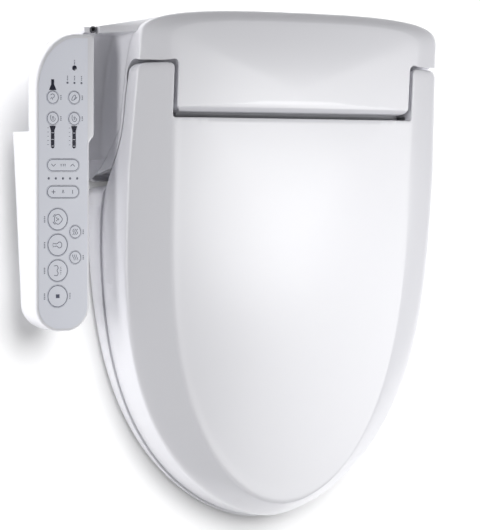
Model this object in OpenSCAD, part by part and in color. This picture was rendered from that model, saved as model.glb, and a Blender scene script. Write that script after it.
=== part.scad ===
// Electric bidet seat: seat ring and cover lid hinged on a moulded housing,
// with a side control arm, wash nozzles, dryer and quick-release plate.
// +Z up, +Y to the rear. The origin is the middle of the two fixing slots,
// on the plane of the bowl's rim.

/* [Cover lid] */
// Half-width of the lid at its widest
lid_half_w = 187.5; // [178:0.5:195]
// Distance from the fixing slots to the tip of the lid
lid_reach = 465; // [440:1:480]
// Half-width of the flat top panel at its widest
panel_half_w = 143.9; // [136:0.5:150]
// Height of the lid's shoulder at the tip
tip_h = 43.4; // [40:0.2:50]
// Rise of the bevel at the tip
bevel_h = 26.8; // [22:0.2:30]
// Rise of the bevel lost towards the hinge
bevel_fall = 13.4; // [10:0.2:15]
// Crown of the top panel
lid_crown = 3.4; // [1:0.2:6]
// Wall of the lid
lid_wall = 3; // [2.4:0.1:4]
// Height of the lid's lower edge at the tip
lid_edge_h = 9; // [8:0.5:14]
// Rise of the lower edge over the housing's side fins
lid_edge_rise = 47; // [40:1:50]
// Width of the lid's arms beside the housing's lip
lid_arm_w = 42.2; // [38:0.1:46]
// Distance from the fixing slots to the notch's front edge
notch_front = 47.6; // [46:0.2:56]
// Depth of the wall at the notch's front edge
notch_wall_h = 12; // [8:1:14]
// Plan radius of the lid's rear corners
lid_corner_r = 9; // [5:1:14]

/* [Hinge] */
// Height of the hinge line
hinge_h = 111; // [110:0.5:112]
// Distance of the hinge line in front of the fixing slots
hinge_back = 6; // [4:0.5:8]
// Radius of the hinge pins
pin_r = 4; // [3:0.25:5]
// Running clearance of the hinge pins
pin_clear = 0.05; // [0.02:0.01:0.09]
// Rear end of the lid's arms
arm_end = 7.3; // [4:0.1:8]
// Radius of the hollow behind the lid's arms, at the lip
scoop_r = 25.9; // [25.4:0.1:26.6]
// Loss of that radius per millimetre towards the side
scoop_taper = 0.222; // [0.1:0.002:0.24]
// Gap between the lid's arms and that hollow
scoop_gap = 2.2; // [1.5:0.1:4]

/* [Seat] */
// How far the seat's foot stands out from the lid
seat_lip = 2.4; // [0.5:0.1:4]
// Thickness of the seat's hinge arms
seat_arm_w = 8; // [6:0.5:10]
// Height of the underside of the seat
seat_lift = 6; // [4:0.5:8]
// Height of the seat's top at the tip
seat_front_h = 34; // [28:1:38]
// Height of the seat's top at its rear edge
seat_rear_h = 64; // [54:1:68]
// Half-width of the opening in the seat
hole_half_w = 104; // [95:1:112]
// Distance from the fixing slots to the front of the opening
hole_front = 394; // [380:1:400]
// Distance from the fixing slots to the rear of the opening
hole_rear = 142; // [140:1:150]
// Distance from the fixing slots to the seat's rear edge
seat_rear = 111.2; // [111:0.2:118]
// Wall of the seat's upper shell
seat_wall = 3; // [2.4:0.1:5]

/* [Housing] */
// Distance from the fixing slots to the rear of the housing
case_rear = 63; // [60:0.5:70]
// Distance from the fixing slots to the front of the housing
case_front = 100; // [98:0.5:101]
// Height of the split between the base and the cover
split_h = 40; // [36:1:44]
// Height of the underside of the base
base_lift = 4.6; // [4:0.1:6]
// Wall of the housing
case_wall = 3; // [2.4:0.1:4]
// Gap between the lip and the lid's arms
lip_gap = 4.8; // [3.5:0.1:6]
// Gap between the front of the lip and the lid
lip_front_gap = 5.8; // [4:0.1:8]
// Plan radius of the lip's front corners
lip_corner_r = 8; // [4:0.5:12]
// Gap between the side fins and the lid
fin_gap = 2.5; // [1.5:0.1:4]
// Crown of the housing's top
case_crown = 3; // [1:0.2:6]

/* [Control arm] */
// Distance from the middle of the seat to the arm's outer side
arm_out = 284; // [276:1:290]
// Distance from the middle of the seat to the arm's inner side, at the rear
arm_in_rear = 219; // [216:0.5:221]
// Distance from the middle of the seat to the arm's inner side, at the front
arm_in_front = 224.5; // [222:0.5:226]
// Height of the panel face at the pivot of its slope
arm_h = 90; // [86:1:94]
// Slope of the panel face
arm_tilt = 4.32; // [2:0.1:6]
// Length of the arm in front of the slope's pivot
arm_front = 204.6; // [200:1:215]
// Length of the arm behind the slope's pivot
arm_rear = 94; // [90:1:97]
// Plan radius of the arm's front corners
arm_corner_r = 26; // [18:1:30]
// Depth of the panel frame
bezel_h = 9; // [7:0.5:12]
// Wall of the arm
arm_wall = 2.4; // [2:0.1:3]
// Thickness of the panel label
label_t = 0.8; // [0.6:0.1:1.2]

/* [Keys] */
// Radius of the wash keys
big_key_r = 11.4; // [9:0.2:11.6]
// Radius of the function keys
small_key_r = 6.8; // [5:0.2:7.2]
// Pitch of the wash keys along the arm
key_pitch = 25.73; // [25.3:0.01:27]
// Length of the rocker keys
rocker_l = 36.4; // [30:0.2:38]
// Width of the rocker keys
rocker_w = 13; // [10:0.2:14]
// Gap round every key
key_gap = 0.3; // [0.2:0.05:0.5]
// Travel of a key
key_travel = 0.8; // [0.4:0.1:0.9]

/* [Nozzles and dryer] */
// Radius of a nozzle
nozzle_r = 6; // [5:0.1:7]
// Length of a nozzle
nozzle_l = 128; // [120:1:132]
// Spacing of the two nozzles
nozzle_pitch = 19; // [17:0.5:24]
// Slope of the nozzles
nozzle_tilt = 20; // [15:1:24]
// Height of the nozzle axes at the front of the housing
nozzle_h = 16.5; // [14:0.5:18]
// Running clearance of the nozzles in their guides
nozzle_clear = 0.08; // [0.03:0.01:0.09]
// Width of the dryer outlet
dryer_w = 34; // [26:1:40]
// Height of the dryer outlet
dryer_h = 15; // [12:0.5:16]
// Radius of the fan wheel
fan_r = 21; // [16:0.5:24]
// Number of blades on the fan wheel
fan_blades = 24; // [12:1:30]

/* [Fixing plate] */
// Spacing of the two fixing slots
slot_pitch = 140; // [130:1:150]
// Width of a fixing slot
slot_w = 9; // [7:0.5:11]
// End-to-end length of a fixing slot
slot_l = 30; // [20:1:36]
// Half-width of the fixing plate
plate_half_w = 96; // [92:1:100]
// Height of the fixing plate
plate_h = 11; // [9:0.5:12]
// Depth of the fixing plate
plate_d = 76; // [60:1:84]
// Running gap round the fixing plate
plate_gap = 0.4; // [0.2:0.1:0.8]

/* [Water inlet] */
// Radius of the water inlet, over its thread
inlet_r = 10.48; // [8:0.01:13]
// Length of the water inlet
inlet_l = 14; // [10:0.5:18]

/* [Hidden] */

$fn = 48;
eps = 0.01;
// points along the curved front, the straight sides and a corner of a shell
K = 24;
J = 9;
C = 5;

// shoulder line of the lid and housing: where the side wall meets the bevel
shoulder_y = -99.2;
shoulder_n = 3.2;
shoulder_m = 1.7;
shoulder_taper = -6.2;
// crease line: where the bevel meets the top panel
crease_y = -113.4;
crease_n = 2.8;
crease_m = 1.9;
crease_taper = 3.3;
crease_reach = lid_reach - 14.3;
taper_y = 20;
// middle of the lid panel, which its crown rises to
lid_mid = -200;
case_mid = -20;
hinge_y = -hinge_back;
seat_gap = 1.2;
notch_half_w = lid_half_w - lid_arm_w;
lip_half_w = notch_half_w - lip_gap;
lip_front = notch_front - lip_front_gap;
// inner face of the housing's side fins
fin_x = lid_half_w - 9.1;
outside = lid_half_w + 22.5;
scoop_end = lid_half_w + 17.5;
function scoop_at(x) = scoop_r - scoop_taper * (x - lip_half_w);

white = [0.95, 0.95, 0.96];
silver = [0.80, 0.81, 0.84];
grey = [0.84, 0.86, 0.91];
dark = [0.20, 0.22, 0.30];

function mix(a, b, f) = a + (b - a) * f;
function run(y) = (y + lid_reach) / 400;
function z1(y) = tip_h + 54.2 * run(y) + 7.6 * run(y) * run(y);
function z2(y) = z1(y) + bevel_h - bevel_fall * run(y);
function zm(y, f) = mix(z1(y), z2(y), f);
// lower edge of the lid: nearly level along the bowl, rising over the fins
function z_edge(y) = lid_edge_h + 0.0837 * (y + lid_reach)
  + lid_edge_rise / (1 + exp(-(y + 96) / 16)) + 0.15 * max(0, y + 25);
function z_seat(y) = mix(seat_front_h, seat_rear_h,
  (y + lid_reach) / (lid_reach - seat_rear));

// half of a closed outline: curved front, straight side, rounded rear corner
function half_outline(yt, y0, w0, n, m, wr, yr, rc) =
  let (ye = yr - rc,
    ae = ye < y0 ? asin(pow((y0 - ye) / (y0 - yt), n / 2)) : 0,
    tip = [for (i = [0:K]) let (a = ae + (90 - ae) * pow(1 - i / K, 1.6))
      [w0 * pow(cos(a), 2 / m), y0 - (y0 - yt) * pow(sin(a), 2 / n)]],
    side = ye < y0 ? [] : [for (j = [1:J]) let (y = mix(y0, ye, j / J))
      [w0 + wr * (y - y0) / (taper_y - y0), y]],
    xe = ye < y0 ? tip[K][0] : side[J - 1][0],
    corner = [for (c = [1:C])
      [xe - rc + rc * cos(90 * c / C), ye + rc * sin(90 * c / C)]])
  concat(tip, side, corner);
function both(half) = concat(half,
  [for (i = [len(half) - 1:-1:1]) [-half[i][0], half[i][1]]]);

// outline of the lid, from the shoulder (f = 0) to the crease (f = 1), inset by d
function lid_outline(f, d, yr = arm_end, rc = lid_corner_r) = both(half_outline(
  mix(-lid_reach, -crease_reach, f) + d, mix(shoulder_y, crease_y, f),
  mix(lid_half_w, panel_half_w, f) - d, mix(shoulder_n, crease_n, f),
  mix(shoulder_m, crease_m, f), mix(shoulder_taper, crease_taper, f),
  yr - d, rc));
function hole_outline(d) = both(half_outline(
  -hole_front + d, -198, hole_half_w - d, 2.1, 2.1, 0, -hole_rear - 0.35 * d, 64 - d * 0.5));
// outline of the housing: straight sides, arched rear
function side_w(y, f) = mix(lid_half_w, panel_half_w, f)
  + mix(shoulder_taper, crease_taper, f) * (y - mix(shoulder_y, crease_y, f))
  / (taper_y - mix(shoulder_y, crease_y, f));
function case_half(f, d) = concat(
  [for (y = [-case_front + d:(taper_y + case_front - d) / 6:taper_y + eps])
    [side_w(y, f) - d, y]],
  [for (q = [1:12]) let (b = 90 * pow(q / 12, 2))
    [(side_w(taper_y, f) - d) * pow(cos(b), 0.7),
     taper_y + (mix(case_rear, case_rear - 13, f) - d - taper_y)
     * pow(sin(b), 0.42)]]);
function case_outline(f, d) = let (h = case_half(f, d)) concat(h,
  [for (i = [len(h) - 2:-1:0]) [-h[i][0], h[i][1]]]);

function lift(o, zf) = [for (p = o) [p[0], p[1], zf(p[1])]];
function shrink(o, k, ym) = [for (p = o) [p[0] * k, ym + (p[1] - ym) * k]];

// closed solid through a stack of rings that run anticlockwise from above
module skin(rings, ym, zb, zt) {
  n = len(rings[0]);
  m = len(rings);
  polyhedron(
    points = concat([for (r = rings) each r], [[0, ym, zb], [0, ym, zt]]),
    faces = concat(
      [for (k = [0:m - 2], i = [0:n - 1]) let (j = (i + 1) % n)
        [k * n + i, (k + 1) * n + i, (k + 1) * n + j]],
      [for (k = [0:m - 2], i = [0:n - 1]) let (j = (i + 1) % n)
        [k * n + i, (k + 1) * n + j, k * n + j]],
      [for (i = [0:n - 1]) let (j = (i + 1) % n) [i, j, m * n]],
      [for (i = [0:n - 1]) let (j = (i + 1) % n)
        [(m - 1) * n + j, (m - 1) * n + i, m * n + 1]]),
    convexity = 10);
}
// closed ring-shaped solid through rings that go once round its section
module loop_skin(rings) {
  n = len(rings[0]);
  m = len(rings);
  polyhedron(
    points = [for (r = rings) each r],
    faces = concat(
      [for (k = [0:m - 1], i = [0:n - 1]) let (j = (i + 1) % n, l = (k + 1) % m)
        [k * n + i, l * n + i, l * n + j]],
      [for (k = [0:m - 1], i = [0:n - 1]) let (j = (i + 1) % n, l = (k + 1) % m)
        [k * n + i, l * n + j, k * n + j]]),
    convexity = 10);
}

module along_x(x0, x1) {
  translate([x0, 0, 0]) rotate([90, 0, 90]) linear_extrude(x1 - x0) children();
}
module both_sides() {
  children();
  mirror([1, 0, 0]) children();
}
module rounded(x0, x1, y0, y1, r) {
  translate([x0 + r, y0]) square([x1 - x0 - 2 * r, y1 - y0]);
  translate([x0, y0 + r]) square([x1 - x0, y1 - y0 - 2 * r]);
  for (x = [x0 + r, x1 - r], y = [y0 + r, y1 - r]) translate([x, y]) circle(r);
}
module box(x0, x1, y0, y1, z0, z1) {
  translate([x0, y0, z0]) cube([x1 - x0, y1 - y0, z1 - z0]);
}
module slot2d(l, w) {
  square([l - w, w], center = true);
  for (s = [-1, 1]) translate([s * (l - w) / 2, 0]) circle(d = w);
}
module hinge_line(x0, x1, r, r2 = undef) {
  translate([x0, hinge_y, hinge_h]) rotate([0, 90, 0])
    cylinder(h = x1 - x0, r1 = r, r2 = r2 == undef ? r : r2);
}

// ---------------------------------------------------------------- housing

// what is cut from the housing's form, grown by e: the apron under the lid,
// the hollows for the seat's arms, and the side above the fins
module case_cuts(e) {
  translate([0, e, -e * 0.5]) along_x(-lip_half_w - 1, lip_half_w + 1)
    polygon([[-300, split_h + 2], [-case_front + 1, split_h + 2],
      [-lip_front - 6, 98], [-lip_front, 105], [-lip_front, 112],
      [-lip_front + 0.7, 116.6], [-lip_front + 2.4, 119.8],
      [-lip_front + 5.2, 122.4], [-lip_front + 9, 124.6], [-lip_front + 14, 126.6],
      [-lip_front + 18, 300], [-300, 300]]);
  both_sides() {
    translate([0, e * 0.6, -e]) along_x(lip_half_w - e, fin_x + 0.1 + e)
      polygon([[-300, 20], [-case_front + 1, 20], [-case_front + 2, 22],
        [-14, 88], [hinge_y, 93], [hinge_y, 300], [-300, 300]]);
    translate([0, 0, -e]) along_x(fin_x, outside)
      polygon(concat([[-300, 16], [-case_front - 0.5, 16], [-98, 40]],
        [for (y = [-95:6:hinge_y]) [y, z_edge(y) - fin_gap]],
        [[hinge_y, z_edge(hinge_y) - fin_gap], [hinge_y, 300], [-300, 300]]));
    if (e > 0) hinge_line(lip_half_w - e, scoop_end, scoop_r + e, scoop_at(scoop_end) + e);
    else scoop();
    // rounded front corners of the lip
    translate([0, 0, 100]) linear_extrude(60) difference() {
      translate([lip_half_w - lip_corner_r, -lip_front - 4])
        square(lip_corner_r + 4);
      translate([lip_half_w - lip_corner_r, -lip_front + lip_corner_r])
        circle(lip_corner_r - e);
    }
  }
}
// hollow behind a lid arm, rounded where it meets the lip
module scoop() {
  fillet_x = 7.5;
  fillet_r = 6.5;
  translate([lip_half_w, hinge_y, hinge_h]) rotate([0, 90, 0]) rotate_extrude()
    polygon(concat([[0, 0]],
      [for (a = [0:15:90]) let (x = fillet_x * (1 - cos(a)))
        [scoop_at(lip_half_w + x) - fillet_r * (1 - sin(a)), x]],
      [[scoop_at(scoop_end), scoop_end - lip_half_w], [0, scoop_end - lip_half_w]]));
}
// arched top of the housing, from the shoulder (f = 0) to the middle (f = 1)
function z_arch(y, f) = z1(y) + f * (z2(y) - z1(y) + case_crown);
module case_form(d, zlow) {
  skin([
    lift(case_outline(0, d), function (y) zlow),
    lift(case_outline(0, d), function (y) z1(y) - 5 - d),
    lift(case_outline(0.02, d), function (y) z1(y) - 0.8 - d),
    lift(case_outline(0.10, d), function (y) z_arch(y, 0.111) - d),
    lift(case_outline(0.30, d), function (y) z_arch(y, 0.304) - d),
    lift(case_outline(0.60, d), function (y) z_arch(y, 0.530) - d),
    lift(case_outline(0.85, d), function (y) z_arch(y, 0.668) - d),
    lift(case_outline(1, d), function (y) z_arch(y, 0.734) - d),
    lift(shrink(case_outline(1, d), 0.86, case_mid),
      function (y) z_arch(y, 0.875) - d),
    lift(shrink(case_outline(1, d), 0.5, case_mid),
      function (y) z_arch(y, 0.992) - d)],
    case_mid, zlow, z2(case_mid) + case_crown - d);
}
module top_cover() {
  color(silver) difference() {
    case_form(0, split_h + 0.4);
    difference() {
      case_form(case_wall, split_h - 5);
      case_cuts(case_wall);
    }
    case_cuts(0);
    both_sides() hinge_line(lip_half_w - case_wall - 1, lip_half_w + 1, pin_r + pin_clear);
    // nozzle opening under the apron
    box(-26, 26, -case_front - 5, -case_front + 12, 0, split_h + 1);
  }
}

channel_half_w = plate_half_w + 7;
channel_rear = 200;
channel_front = -48;
module base_case() {
  color(white) difference() {
    union() {
      translate([0, 0, base_lift]) linear_extrude(split_h - base_lift)
        polygon(case_outline(0, 0));
      // toe that closes the gap under the seat's rear edge
      translate([0, 0, base_lift]) linear_extrude(13 - base_lift)
        rounded(-lid_half_w + 1, lid_half_w - 1, -seat_rear + 5.6, -case_front + 20, 6);
    }
    difference() {
      translate([0, 0, base_lift + case_wall]) linear_extrude(80)
        polygon(case_outline(0, case_wall));
      case_cuts(case_wall);
      // roof over the channel of the fixing plate
      box(-channel_half_w - case_wall, channel_half_w + case_wall,
        channel_front - case_wall, channel_rear,
        0, plate_h + plate_gap + case_wall);
    }
    case_cuts(0);
    // channel for the fixing plate, open to the rear, with ledges for its rails
    box(-plate_half_w - plate_gap, plate_half_w + plate_gap,
      channel_front, channel_rear, 0, plate_h + plate_gap);
    box(-channel_half_w, channel_half_w, channel_front, channel_rear,
      base_lift + 2.2, plate_h + plate_gap);
    // nozzle opening and dryer outlet
    box(-21, 21, -case_front - 20, -case_front + case_wall + 1, base_lift + 3, 27);
    box(-21, 21, -case_front - 20, -case_front, base_lift - 1, 27);
    translate([dryer_x, 0, 0]) box(-dryer_w / 2 - 1, dryer_w / 2 + 1,
      -case_front - 20, -case_front + case_wall + 1, dryer_z - 1, dryer_z + dryer_h + 2);
    // water inlet and release button in the right-hand wall
    translate([0, inlet_y, inlet_z]) rotate([0, 90, 0])
      cylinder(h = 220, r = inlet_r + inlet_collar + 0.1);
    translate([0, button_y, button_z]) rotate([0, 90, 0])
      cylinder(h = 220, r = button_r + 0.3);
    // wire way to the control arm
    translate([-170, -20, 25]) rotate([0, -90, 0]) cylinder(h = 30, r = 7);
    for (p = foot_at) translate([p[0], p[1], 0]) cylinder(h = base_lift + 1.2, r = 5.1);
    for (p = screw_at) translate([p[0], p[1], 0]) cylinder(h = split_h + 2, r = 2.1);
  }
}

foot_at = [[-150, -80], [150, -80], [-150, 30], [150, 30]];
module base_feet() {
  color(dark) for (p = foot_at) translate([p[0], p[1], 0]) {
    cylinder(h = base_lift, r1 = 7, r2 = 8);
    translate([0, 0, base_lift - eps]) cylinder(h = 1.2 + eps, r = 5);
  }
}
screw_x = lid_half_w - 27.5;
screw_at = [[-120, 45], [120, 45], [-screw_x, -30], [screw_x, -30]];
module case_screws() {
  color("silver") for (p = screw_at) translate([p[0], p[1], base_lift]) {
    cylinder(h = 2.4, r = 2.05);
    cylinder(h = split_h - base_lift - 2, r = 2);
  }
}

// ---------------------------------------------------------------- hinge

// cheeks of the seat's hinge arms, in the room between the lid's two walls
seat_arm_x = [notch_half_w + lid_wall + 2.1, notch_half_w + lid_wall + 2.1 + seat_arm_w];
pin_tip = seat_arm_x[1] + 1.6;
module hinge_pins() {
  color("silver") both_sides() hinge_line(lip_half_w - case_wall, pin_tip, pin_r);
}
module hinge_dampers() {
  color(dark) both_sides() {
    hinge_line(92, lip_half_w - case_wall - 0.05, 9);
    hinge_line(88, 92, 6);
  }
}

// ---------------------------------------------------------------- lid

module lid_form() {
  skin([
    lift(lid_outline(0, 1), function (y) z_edge(y)),
    lift(lid_outline(0, -0.5), function (y) z_edge(y) + 1.6),
    lift(lid_outline(0, 0), function (y) z1(y) - 5),
    lift(lid_outline(0.015, 0), function (y) z1(y) - 0.8),
    lift(lid_outline(0.09, 0), function (y) zm(y, 0.13)),
    lift(lid_outline(0.5, 0), function (y) zm(y, 0.54) + 0.8),
    lift(lid_outline(0.92, 0), function (y) zm(y, 0.94) + 0.3),
    lift(lid_outline(1, 0), function (y) z2(y)),
    lift(shrink(lid_outline(1, 0), 0.93, lid_mid),
      function (y) z2(y) + lid_crown * 0.16),
    lift(shrink(lid_outline(1, 0), 0.7, lid_mid),
      function (y) z2(y) + lid_crown * 0.55),
    lift(shrink(lid_outline(1, 0), 0.35, lid_mid),
      function (y) z2(y) + lid_crown * 0.88)],
    lid_mid, z_edge(lid_mid), z2(lid_mid) + lid_crown);
}
module lid_void() {
  w = lid_wall;
  skin([
    lift(lid_outline(0, w), function (y) -20),
    lift(lid_outline(0, w), function (y) z1(y) - 6),
    lift(lid_outline(0.5, w * 0.8), function (y) zm(y, 0.54) - w),
    lift(lid_outline(1, w * 0.5), function (y) z2(y) - w),
    lift(shrink(lid_outline(1, w * 0.5), 0.7, lid_mid),
      function (y) z2(y) + lid_crown * 0.55 - w),
    lift(shrink(lid_outline(1, w * 0.5), 0.35, lid_mid),
      function (y) z2(y) + lid_crown * 0.88 - w)],
    lid_mid, -20, z2(lid_mid) + lid_crown - w);
}
post_at = [[-122, -150], [122, -150], [-80, -375], [80, -375]];
post_r = 5;
bumper_h = 6;
function post_z(p) = z_seat(p[1] + 8) + 0.4 + bumper_h;
module notch2d() {
  difference() {
    union() {
      rounded(-notch_half_w, notch_half_w, -notch_front, 60, 2.5);
      both_sides() translate([notch_half_w - 1, arm_end - arm_inner_r])
        square([arm_inner_r + 1, 30]);
    }
    both_sides() translate([notch_half_w + arm_inner_r, arm_end - arm_inner_r])
      circle(arm_inner_r);
  }
}
arm_inner_r = 5;
module lid_shell() {
  color(white) difference() {
    union() {
      difference() {
        lid_form();
        difference() {
          lid_void();
          translate([0, 0, -50]) linear_extrude(300)
            rounded(-notch_half_w - lid_wall, notch_half_w + lid_wall,
              -notch_front - lid_wall, 60, 6);
        }
      }
      for (p = post_at) translate([p[0], p[1], post_z(p)])
        cylinder(h = z2(p[1]) - 1 - post_z(p), r = post_r);
    }
    // notch round the housing's lip
    translate([0, 0, -50]) linear_extrude(300) notch2d();
    box(-notch_half_w - lid_wall, notch_half_w + lid_wall, -notch_front - lid_wall - 1,
      -notch_front + 5, -50, z2(-notch_front) - notch_wall_h);
    both_sides() hinge_line(notch_half_w - 1, notch_half_w + lid_wall + 1, pin_r + 3);
    // ends of the lid's arms, rounded about the hinge
    both_sides() difference() {
      box(notch_half_w - 1, outside, hinge_y, 40, 0, 200);
      hinge_line(notch_half_w - 2, outside + 1, scoop_at(notch_half_w - 2) - scoop_gap,
        scoop_at(outside + 1) - scoop_gap);
    }
    // way past the seat's arms as the lid opens
    both_sides() box(notch_half_w + lid_wall - eps, seat_arm_x[1] + 4, 0, 20,
      50, hinge_h - 3);
  }
}
module lid_bushes() {
  color("gainsboro") both_sides() difference() {
    union() {
      hinge_line(notch_half_w - 1.2, notch_half_w + lid_wall + 0.8, pin_r + 2.95);
      hinge_line(notch_half_w - 1.2, notch_half_w - 0.05, pin_r + 5);
    }
    hinge_line(notch_half_w - 3, notch_half_w + lid_wall + 3, pin_r + pin_clear);
  }
}
module lid_bumpers() {
  color("lightgrey") for (p = post_at)
    translate([p[0], p[1], post_z(p) - bumper_h]) cylinder(h = bumper_h, r = post_r + 2);
}

// ---------------------------------------------------------------- seat

seat_end = -seat_rear;
seat_corner_r = 10;
// inset by d round the front and sides, and by a third of it at the narrow rear
function seat_outline(d) = lid_outline(0, d, seat_end + (d > 0 ? 0.65 * d : d),
  seat_corner_r);
module seat_top() {
  color(white) difference() {
    loop_skin([
      lift(seat_outline(-seat_lip + 2), function (y) seat_lift),
      lift(seat_outline(-seat_lip), function (y) seat_lift + 1),
      lift(seat_outline(-seat_lip), function (y) z_edge(y) - seat_gap - 0.2),
      lift(seat_outline(lid_wall + 2), function (y) z_edge(y) - seat_gap),
      lift(seat_outline(lid_wall + 3.5), function (y) z_seat(y) - 9),
      lift(seat_outline(lid_wall + 7), function (y) z_seat(y) - 2.5),
      lift(seat_outline(lid_wall + 15), function (y) z_seat(y)),
      lift(hole_outline(-14), function (y) z_seat(y) - 2),
      lift(hole_outline(-4), function (y) z_seat(y) - 6),
      lift(hole_outline(0), function (y) z_seat(y) - 13),
      lift(hole_outline(-3), function (y) seat_lift + 1.5),
      lift(hole_outline(-4), function (y) seat_lift)]);
    // hollow underside
    loop_skin([
      lift(seat_outline(lid_wall + 4 + seat_wall), function (y) -10),
      lift(seat_outline(lid_wall + 4 + seat_wall), function (y) z_seat(y) - 11),
      lift(seat_outline(lid_wall + 14 + seat_wall), function (y) z_seat(y) - seat_wall),
      lift(hole_outline(-15), function (y) z_seat(y) - 2 - seat_wall),
      lift(hole_outline(-5 - seat_wall), function (y) z_seat(y) - 14),
      lift(hole_outline(-5 - seat_wall), function (y) -10)]);
    seat_relief(0);
  }
}
relief_half_w = 92;
relief_h = 27;
// tunnel under the seat's rear edge for the nozzles and the dryer
module seat_relief(e) {
  box(-relief_half_w - e, relief_half_w + e, -hole_rear - 20, 0, -20, relief_h + e);
}
module seat_bottom() {
  color(white) difference() {
    translate([0, 0, seat_lift + 0.2]) linear_extrude(3) difference() {
      polygon(seat_outline(lid_wall + 4.3 + seat_wall));
      polygon(hole_outline(-5.3 - seat_wall));
    }
    seat_relief(3.2);
    for (p = seat_foot_at) translate([p[0], p[1], 0]) cylinder(h = 20, r = 4.1);
  }
}
seat_foot_at = [[-145, -170], [145, -170], [-105, -365], [105, -365]];
module seat_bumpers() {
  color("lightgrey") for (p = seat_foot_at) translate([p[0], p[1], 0]) {
    cylinder(h = seat_lift + 0.2, r = 9);
    translate([0, 0, seat_lift + 0.2 - eps]) cylinder(h = 3 + eps, r = 4);
  }
}
seat_arm_foot = 3;
module seat_arms() {
  color(white) both_sides() difference() {
    union() {
      along_x(seat_arm_x[0], seat_arm_x[1]) polygon([
        [hinge_y + 3, hinge_h - 6], [hinge_y - 2, hinge_h + 8.4],
        [-40, 102], [-80, 80], [seat_end + 4, 52], [seat_end + 0.3, 50],
        [seat_end + 0.3, 34], [seat_end + 5, 34], [-88, 56], [-50, 82], [-17, 104.5]]);
      hinge_line(seat_arm_x[0], seat_arm_x[1], 8.6);
      along_x(seat_arm_x[0] - seat_arm_foot, seat_arm_x[1] + seat_arm_foot) polygon([
        [seat_end + 0.3, 32], [seat_end + 3.3, 32], [seat_end + 3.3, 54],
        [seat_end + 0.3, 54]]);
    }
    hinge_line(seat_arm_x[0] - 1, seat_arm_x[1] + 1, pin_r + pin_clear);
  }
}
module seat_heater() {
  color("orange") translate([0, 0, seat_lift + 3.3]) linear_extrude(0.8)
    difference() {
      polygon(seat_outline(lid_wall + 22));
      polygon(hole_outline(-18));
      translate([-300, -190]) square([600, 200]);
    }
}

// ---------------------------------------------------------------- control arm

module arm_frame() {
  translate([0, -57, arm_h]) rotate([arm_tilt, 0, 0]) children();
}
// plan outline of the arm in the slope's frame, inset by d
function arc(cx, cy, rx, ry, a0, a1, n) = [for (i = [0:n])
  let (a = mix(a0, a1, i / n)) [cx + rx * cos(a), cy + ry * sin(a)]];
rear_rx = 46;
rear_ry = 57;
chamfer_y = -8;
function arm_front_pts(d, ytop) = concat(
  [[-arm_out + d, ytop]],
  arc(-arm_out + arm_corner_r, -arm_front + arm_corner_r,
    arm_corner_r - d, arm_corner_r - d, 180, 270, 10),
  arc(-arm_in_front - arm_corner_r, -arm_front + arm_corner_r,
    arm_corner_r - d, arm_corner_r - d, 270, 360, 10),
  [[-arm_in_front - d, ytop]]);
function arm_pts(d) = concat(
  arc(-arm_in_rear - 4, arm_rear - 4, 4 - d * 0.7, 4 - d * 0.7, 0, 90, 3),
  [for (p = arc(-arm_out + rear_rx, arm_rear - rear_ry, rear_rx - d, rear_ry - d,
    90, 180, 14)) p],
  [for (i = [1:22]) arm_front_pts(d, 0)[i]],
  [[-arm_in_front - d, chamfer_y - 7 - d * 0.4],
   [-arm_in_rear - d, chamfer_y + 1 - d * 0.4]]);

function flat(o, z) = [for (p = o) [p[0], p[1], z]];
module plan_skin(rings, cx, cy) {
  n = len(rings[0]);
  m = len(rings);
  zb = rings[0][0][2];
  zt = rings[m - 1][0][2];
  polyhedron(
    points = concat([for (r = rings) each r], [[cx, cy, zb], [cx, cy, zt]]),
    faces = concat(
      [for (k = [0:m - 2], i = [0:n - 1]) let (j = (i + 1) % n)
        [k * n + i, (k + 1) * n + i, (k + 1) * n + j]],
      [for (k = [0:m - 2], i = [0:n - 1]) let (j = (i + 1) % n)
        [k * n + i, (k + 1) * n + j, k * n + j]],
      [for (i = [0:n - 1]) let (j = (i + 1) % n) [i, j, m * n]],
      [for (i = [0:n - 1]) let (j = (i + 1) % n)
        [(m - 1) * n + j, (m - 1) * n + i, m * n + 1]]),
    convexity = 10);
}
label_in = 227;
rim = 2.7;
function label_pts(g) = concat(
  [[-label_in - g, arm_rear - rim - 1.3 - g]],
  arc(-arm_out + rear_rx, arm_rear - rear_ry, rear_rx - rim - g, rear_ry - rim - 1.3 - g,
    90, 180, 14),
  arc(-arm_out + arm_corner_r, -arm_front + arm_corner_r,
    arm_corner_r - rim - g, arm_corner_r - rim - g, 180, 270, 10),
  arc(-label_in - arm_corner_r + rim, -arm_front + arm_corner_r,
    arm_corner_r - rim - g, arm_corner_r - rim - g, 270, 360, 10));

// keys: [x, y along the slope, radius]
col_out = 266;
col_in = 242.2;
big_x = 260.5;
small_x = 241;
big_y = -91.9;
small_y = -104.7;
row_a = 30.1;
row_b = 9;
rocker_x = 254.5;
rocker_y = [-37.7, -64.4];
KEYS = [[-big_x, big_y, big_key_r], [-big_x, big_y - key_pitch, big_key_r],
  [-big_x, big_y - 2 * key_pitch, big_key_r], [-big_x, big_y - 3 * key_pitch, big_key_r],
  [-col_out, row_a, small_key_r], [-col_in, row_a, small_key_r],
  [-col_out, row_b, small_key_r], [-col_in, row_b, small_key_r],
  [-small_x, small_y, small_key_r], [-small_x, small_y - key_pitch, small_key_r]];
proud = 0.3;
flange_t = 1.4;
module key_holes(g) {
  for (k = KEYS) translate([k[0], k[1], -20]) cylinder(h = 30, r = k[2] + g);
  for (y = rocker_y) translate([-rocker_x, y, -20]) linear_extrude(30)
    slot2d(rocker_l + 2 * g, rocker_w + 2 * g);
}
lens_at = concat(
  [for (i = [-1:1]) [-241.8 + i * 7.8, 44.8, 1.1]],
  [for (i = [-2:2]) [-rocker_x + i * 7.9, -49.9 - 1.1, 1.2]],
  [[-241.8, 59.8, 2.6]]);
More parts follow.
